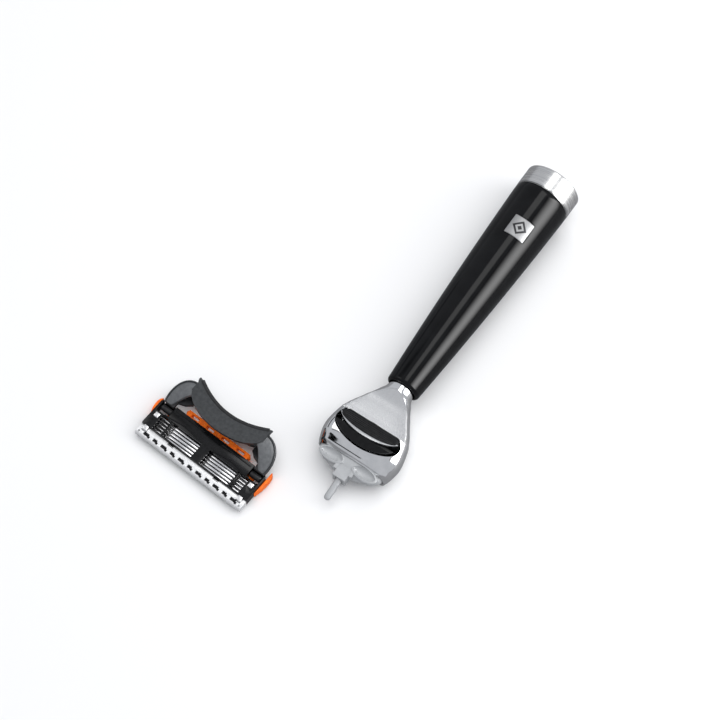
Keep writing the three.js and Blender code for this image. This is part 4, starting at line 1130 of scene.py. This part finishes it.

# %% [markdown]
# ## The yoke
# The yoke carries the cartridge on the handle's nose. Its saddle is a curved plate with a
# raised lip along its edge and a pointed horn at each end. From each horn a broad arm swings
# out and down to a round foot in the housing, with a bead along its edge and a web under it.
# The web and the feet are painted near black as painted shade, for the shadow under the arms.
# Arms, beads and horns are drawn as skins, because they curve in three directions.

# %% The saddle
SADDLE_Y, HORN_X, HORN_REACH, FLOOR_X = 19.5, 14.05, 4.2, 12.85
across_saddle = [1 - 2 * i / 32 for i in range(33)]
under_turn = [math.pi * (1 + i / 32) for i in range(1, 32)]
saddle = [(HORN_X * t, SADDLE_Y + HORN_REACH * t ** 2) for t in across_saddle]
lower = [(HORN_X * math.cos(a), SADDLE_Y + 0.9 + 7.0 * math.sin(a)) for a in under_turn]
yoke = plate("yoke_moulded", saddle + lower, 8.76, 9.96)
floor_saddle = [(x * FLOOR_X / HORN_X, y) for x, y in saddle]
floor_lower = [(FLOOR_X * math.cos(a), SADDLE_Y + 1.2 + 3.4 * math.sin(a)) for a in under_turn]
cut(yoke, plate("yoke_floor", floor_saddle + floor_lower, 0.86, 2.06), "UNION")
for side in (-1, 1):
    cut(yoke, bar("wall", (side * 11.65, 19.0, 0.86), (side * HORN_X, 22.5, 9.9)), "UNION")
ease_edges(yoke, 0.25)
yoke.data.materials.append(yoke_grey)
print("saddle faces:", len(yoke.data.polygons))


# %% The arms' curves
def bezier(points, t):
    """A point on the smooth curve that a few guide points pull on, by de Casteljau's halving."""
    points = [Vector(p) for p in points]
    while len(points) > 1:
        points = [a.lerp(b, t) for a, b in zip(points, points[1:])]
    return points[0]


def heading(points, t):
    return bezier(points, min(1, t + 0.02)) - bezier(points, max(0, t - 0.02))


ARM_OUTER = [(13.6, 21.7, 9.5), (16.8, 22.0, 8.9), (20.3, 19.9, 7.4), (20.2, 14.8, 5.4),
             (19.5, 12.4, 4.7)]
ARM_INNER = [(12.9, 17.6, 9.4), (14.2, 17.2, 9.0), (15.0, 15.6, 7.8), (16.2, 14.2, 6.2),
             (17.2, 12.5, 4.8)]
ARM_THICK, ARM_CROWN, ARM_SHOULDER = 1.1, Vector((0, 0, 0.25)), Vector((0, 0, 0.1))
BEAD_HALF, BEAD_TALLER, BEAD_SUNK = 0.42, 1.6, 0.3
WEB = ((19.2, 12.2), (19.4, 15.4), (17.4, 18.0), (14.0, 20.0), (12.0, 19.5),
       (11.8, 16.6), (13.6, 15.1), (15.9, 14.3), (16.0, 12.2))
# Each ring's middle in x and y, its two radii and its height.
HORN_RINGS = ((11.6, 21.2, 0.9, 1.7, 8.9), (12.4, 21.6, 0.85, 1.8 * 0.85, 9.6),
              (13.4, 22.5, 0.62, 1.8 * 0.62, 9.95), (14.2, 23.3, 0.3, 1.8 * 0.3, 10.05))


def arm_rings(side):
    """Rings between the arm's outer and inner edges, crowned on top and flat underneath."""
    rings = []
    for i in range(21):
        t = i / 20
        o, n = bezier(ARM_OUTER, t), bezier(ARM_INNER, t)
        along = (heading(ARM_OUTER, t) + heading(ARM_INNER, t)).normalized()
        down = along.cross((n - o).normalized()).normalized() * ARM_THICK
        if down.z > 0:
            down = -down
        mid = (o + n) / 2 + ARM_CROWN
        ring = [o, o.lerp(mid, 0.5) + ARM_SHOULDER, mid, n.lerp(mid, 0.5) + ARM_SHOULDER, n,
                n + down, (o + n) / 2 + down, o + down]
        rings.append([(side * p.x, p.y, p.z) for p in ring])
    return rings


def bead_rings(side):
    """Rings of an oval cord along the arm's outer edge."""
    rings = []
    for i in range(25):
        t = i / 24
        ahead = heading(ARM_OUTER, t).normalized()
        across = ahead.cross(Vector((0, 0, 1))).normalized()
        up = across.cross(ahead).normalized()
        ring = [bezier(ARM_OUTER, t) + BEAD_HALF * (math.cos(a) * across
                                                    + BEAD_TALLER * math.sin(a) * up)
                for a in full_turn(12)]
        rings.append([(side * p.x, p.y, p.z - BEAD_SUNK) for p in ring])
    return rings


def horn_rings(side):
    return [[(side * (x + wide * math.cos(a)), y + long * math.sin(a), z) for a in full_turn(16)]
            for x, y, wide, long, z in HORN_RINGS]


# %% Mould the arms, beads, webs, feet and horns
for side, name in SIDES:
    arm = skinned(f"yoke_arm_{name}", arm_rings(side))
    settle(arm, "yoke", "yoke_grey", arm_grey, ease=0.2, sharper_than=45)
    bead = skinned(f"yoke_bead_{name}", bead_rings(side))
    settle(bead, "yoke", "yoke_grey", yoke_grey, ease=0.05, segments=1, sharper_than=60)
    # The web is painted near black: painted shade for the shadow under the arm.
    web = plate(f"yoke_web_{name}", [(side * x, y) for x, y in WEB], 3.9, 5.0)
    settle(web, "yoke", "yoke_grey", inner_black, ease=0.2, segments=2)
    # The foot is painted near black too: painted shade, as it stands in the arm's shadow.
    foot_post = round_post(f"yoke_foot_{name}", (side * 15.8, PIVOT_Y, PIVOT_Z),
                           (side * 19.6, PIVOT_Y, PIVOT_Z), 1.0)
    settle(foot_post, "yoke", "yoke_grey", inner_black, ease=0.2)
    horn = skinned(f"yoke_horn_{name}", horn_rings(side))
    settle(horn, "yoke", "yoke_grey", yoke_grey, ease=0.1, segments=2, sharper_than=45)
settle(yoke, "yoke", "yoke_grey", yoke_grey, "yoke")

# %% The saddle's lip
lip_rings = []
for t in across_saddle:
    centre = Vector((13.3 * t, SADDLE_Y + 0.15 + HORN_REACH * t * t * 0.9, 9.75))
    across = Vector((-2 * HORN_REACH * t, HORN_X, 0)).normalized()
    lip_rings.append([centre + 0.62 * math.cos(a) * across + Vector((0, 0, 0.45 * math.sin(a)))
                      for a in full_turn(12)])
saddle_lip = skinned("yoke_saddle_lip", lip_rings)
settle(saddle_lip, "yoke", "yoke_grey", inner_black, ease=0.05, segments=1, sharper_than=60)
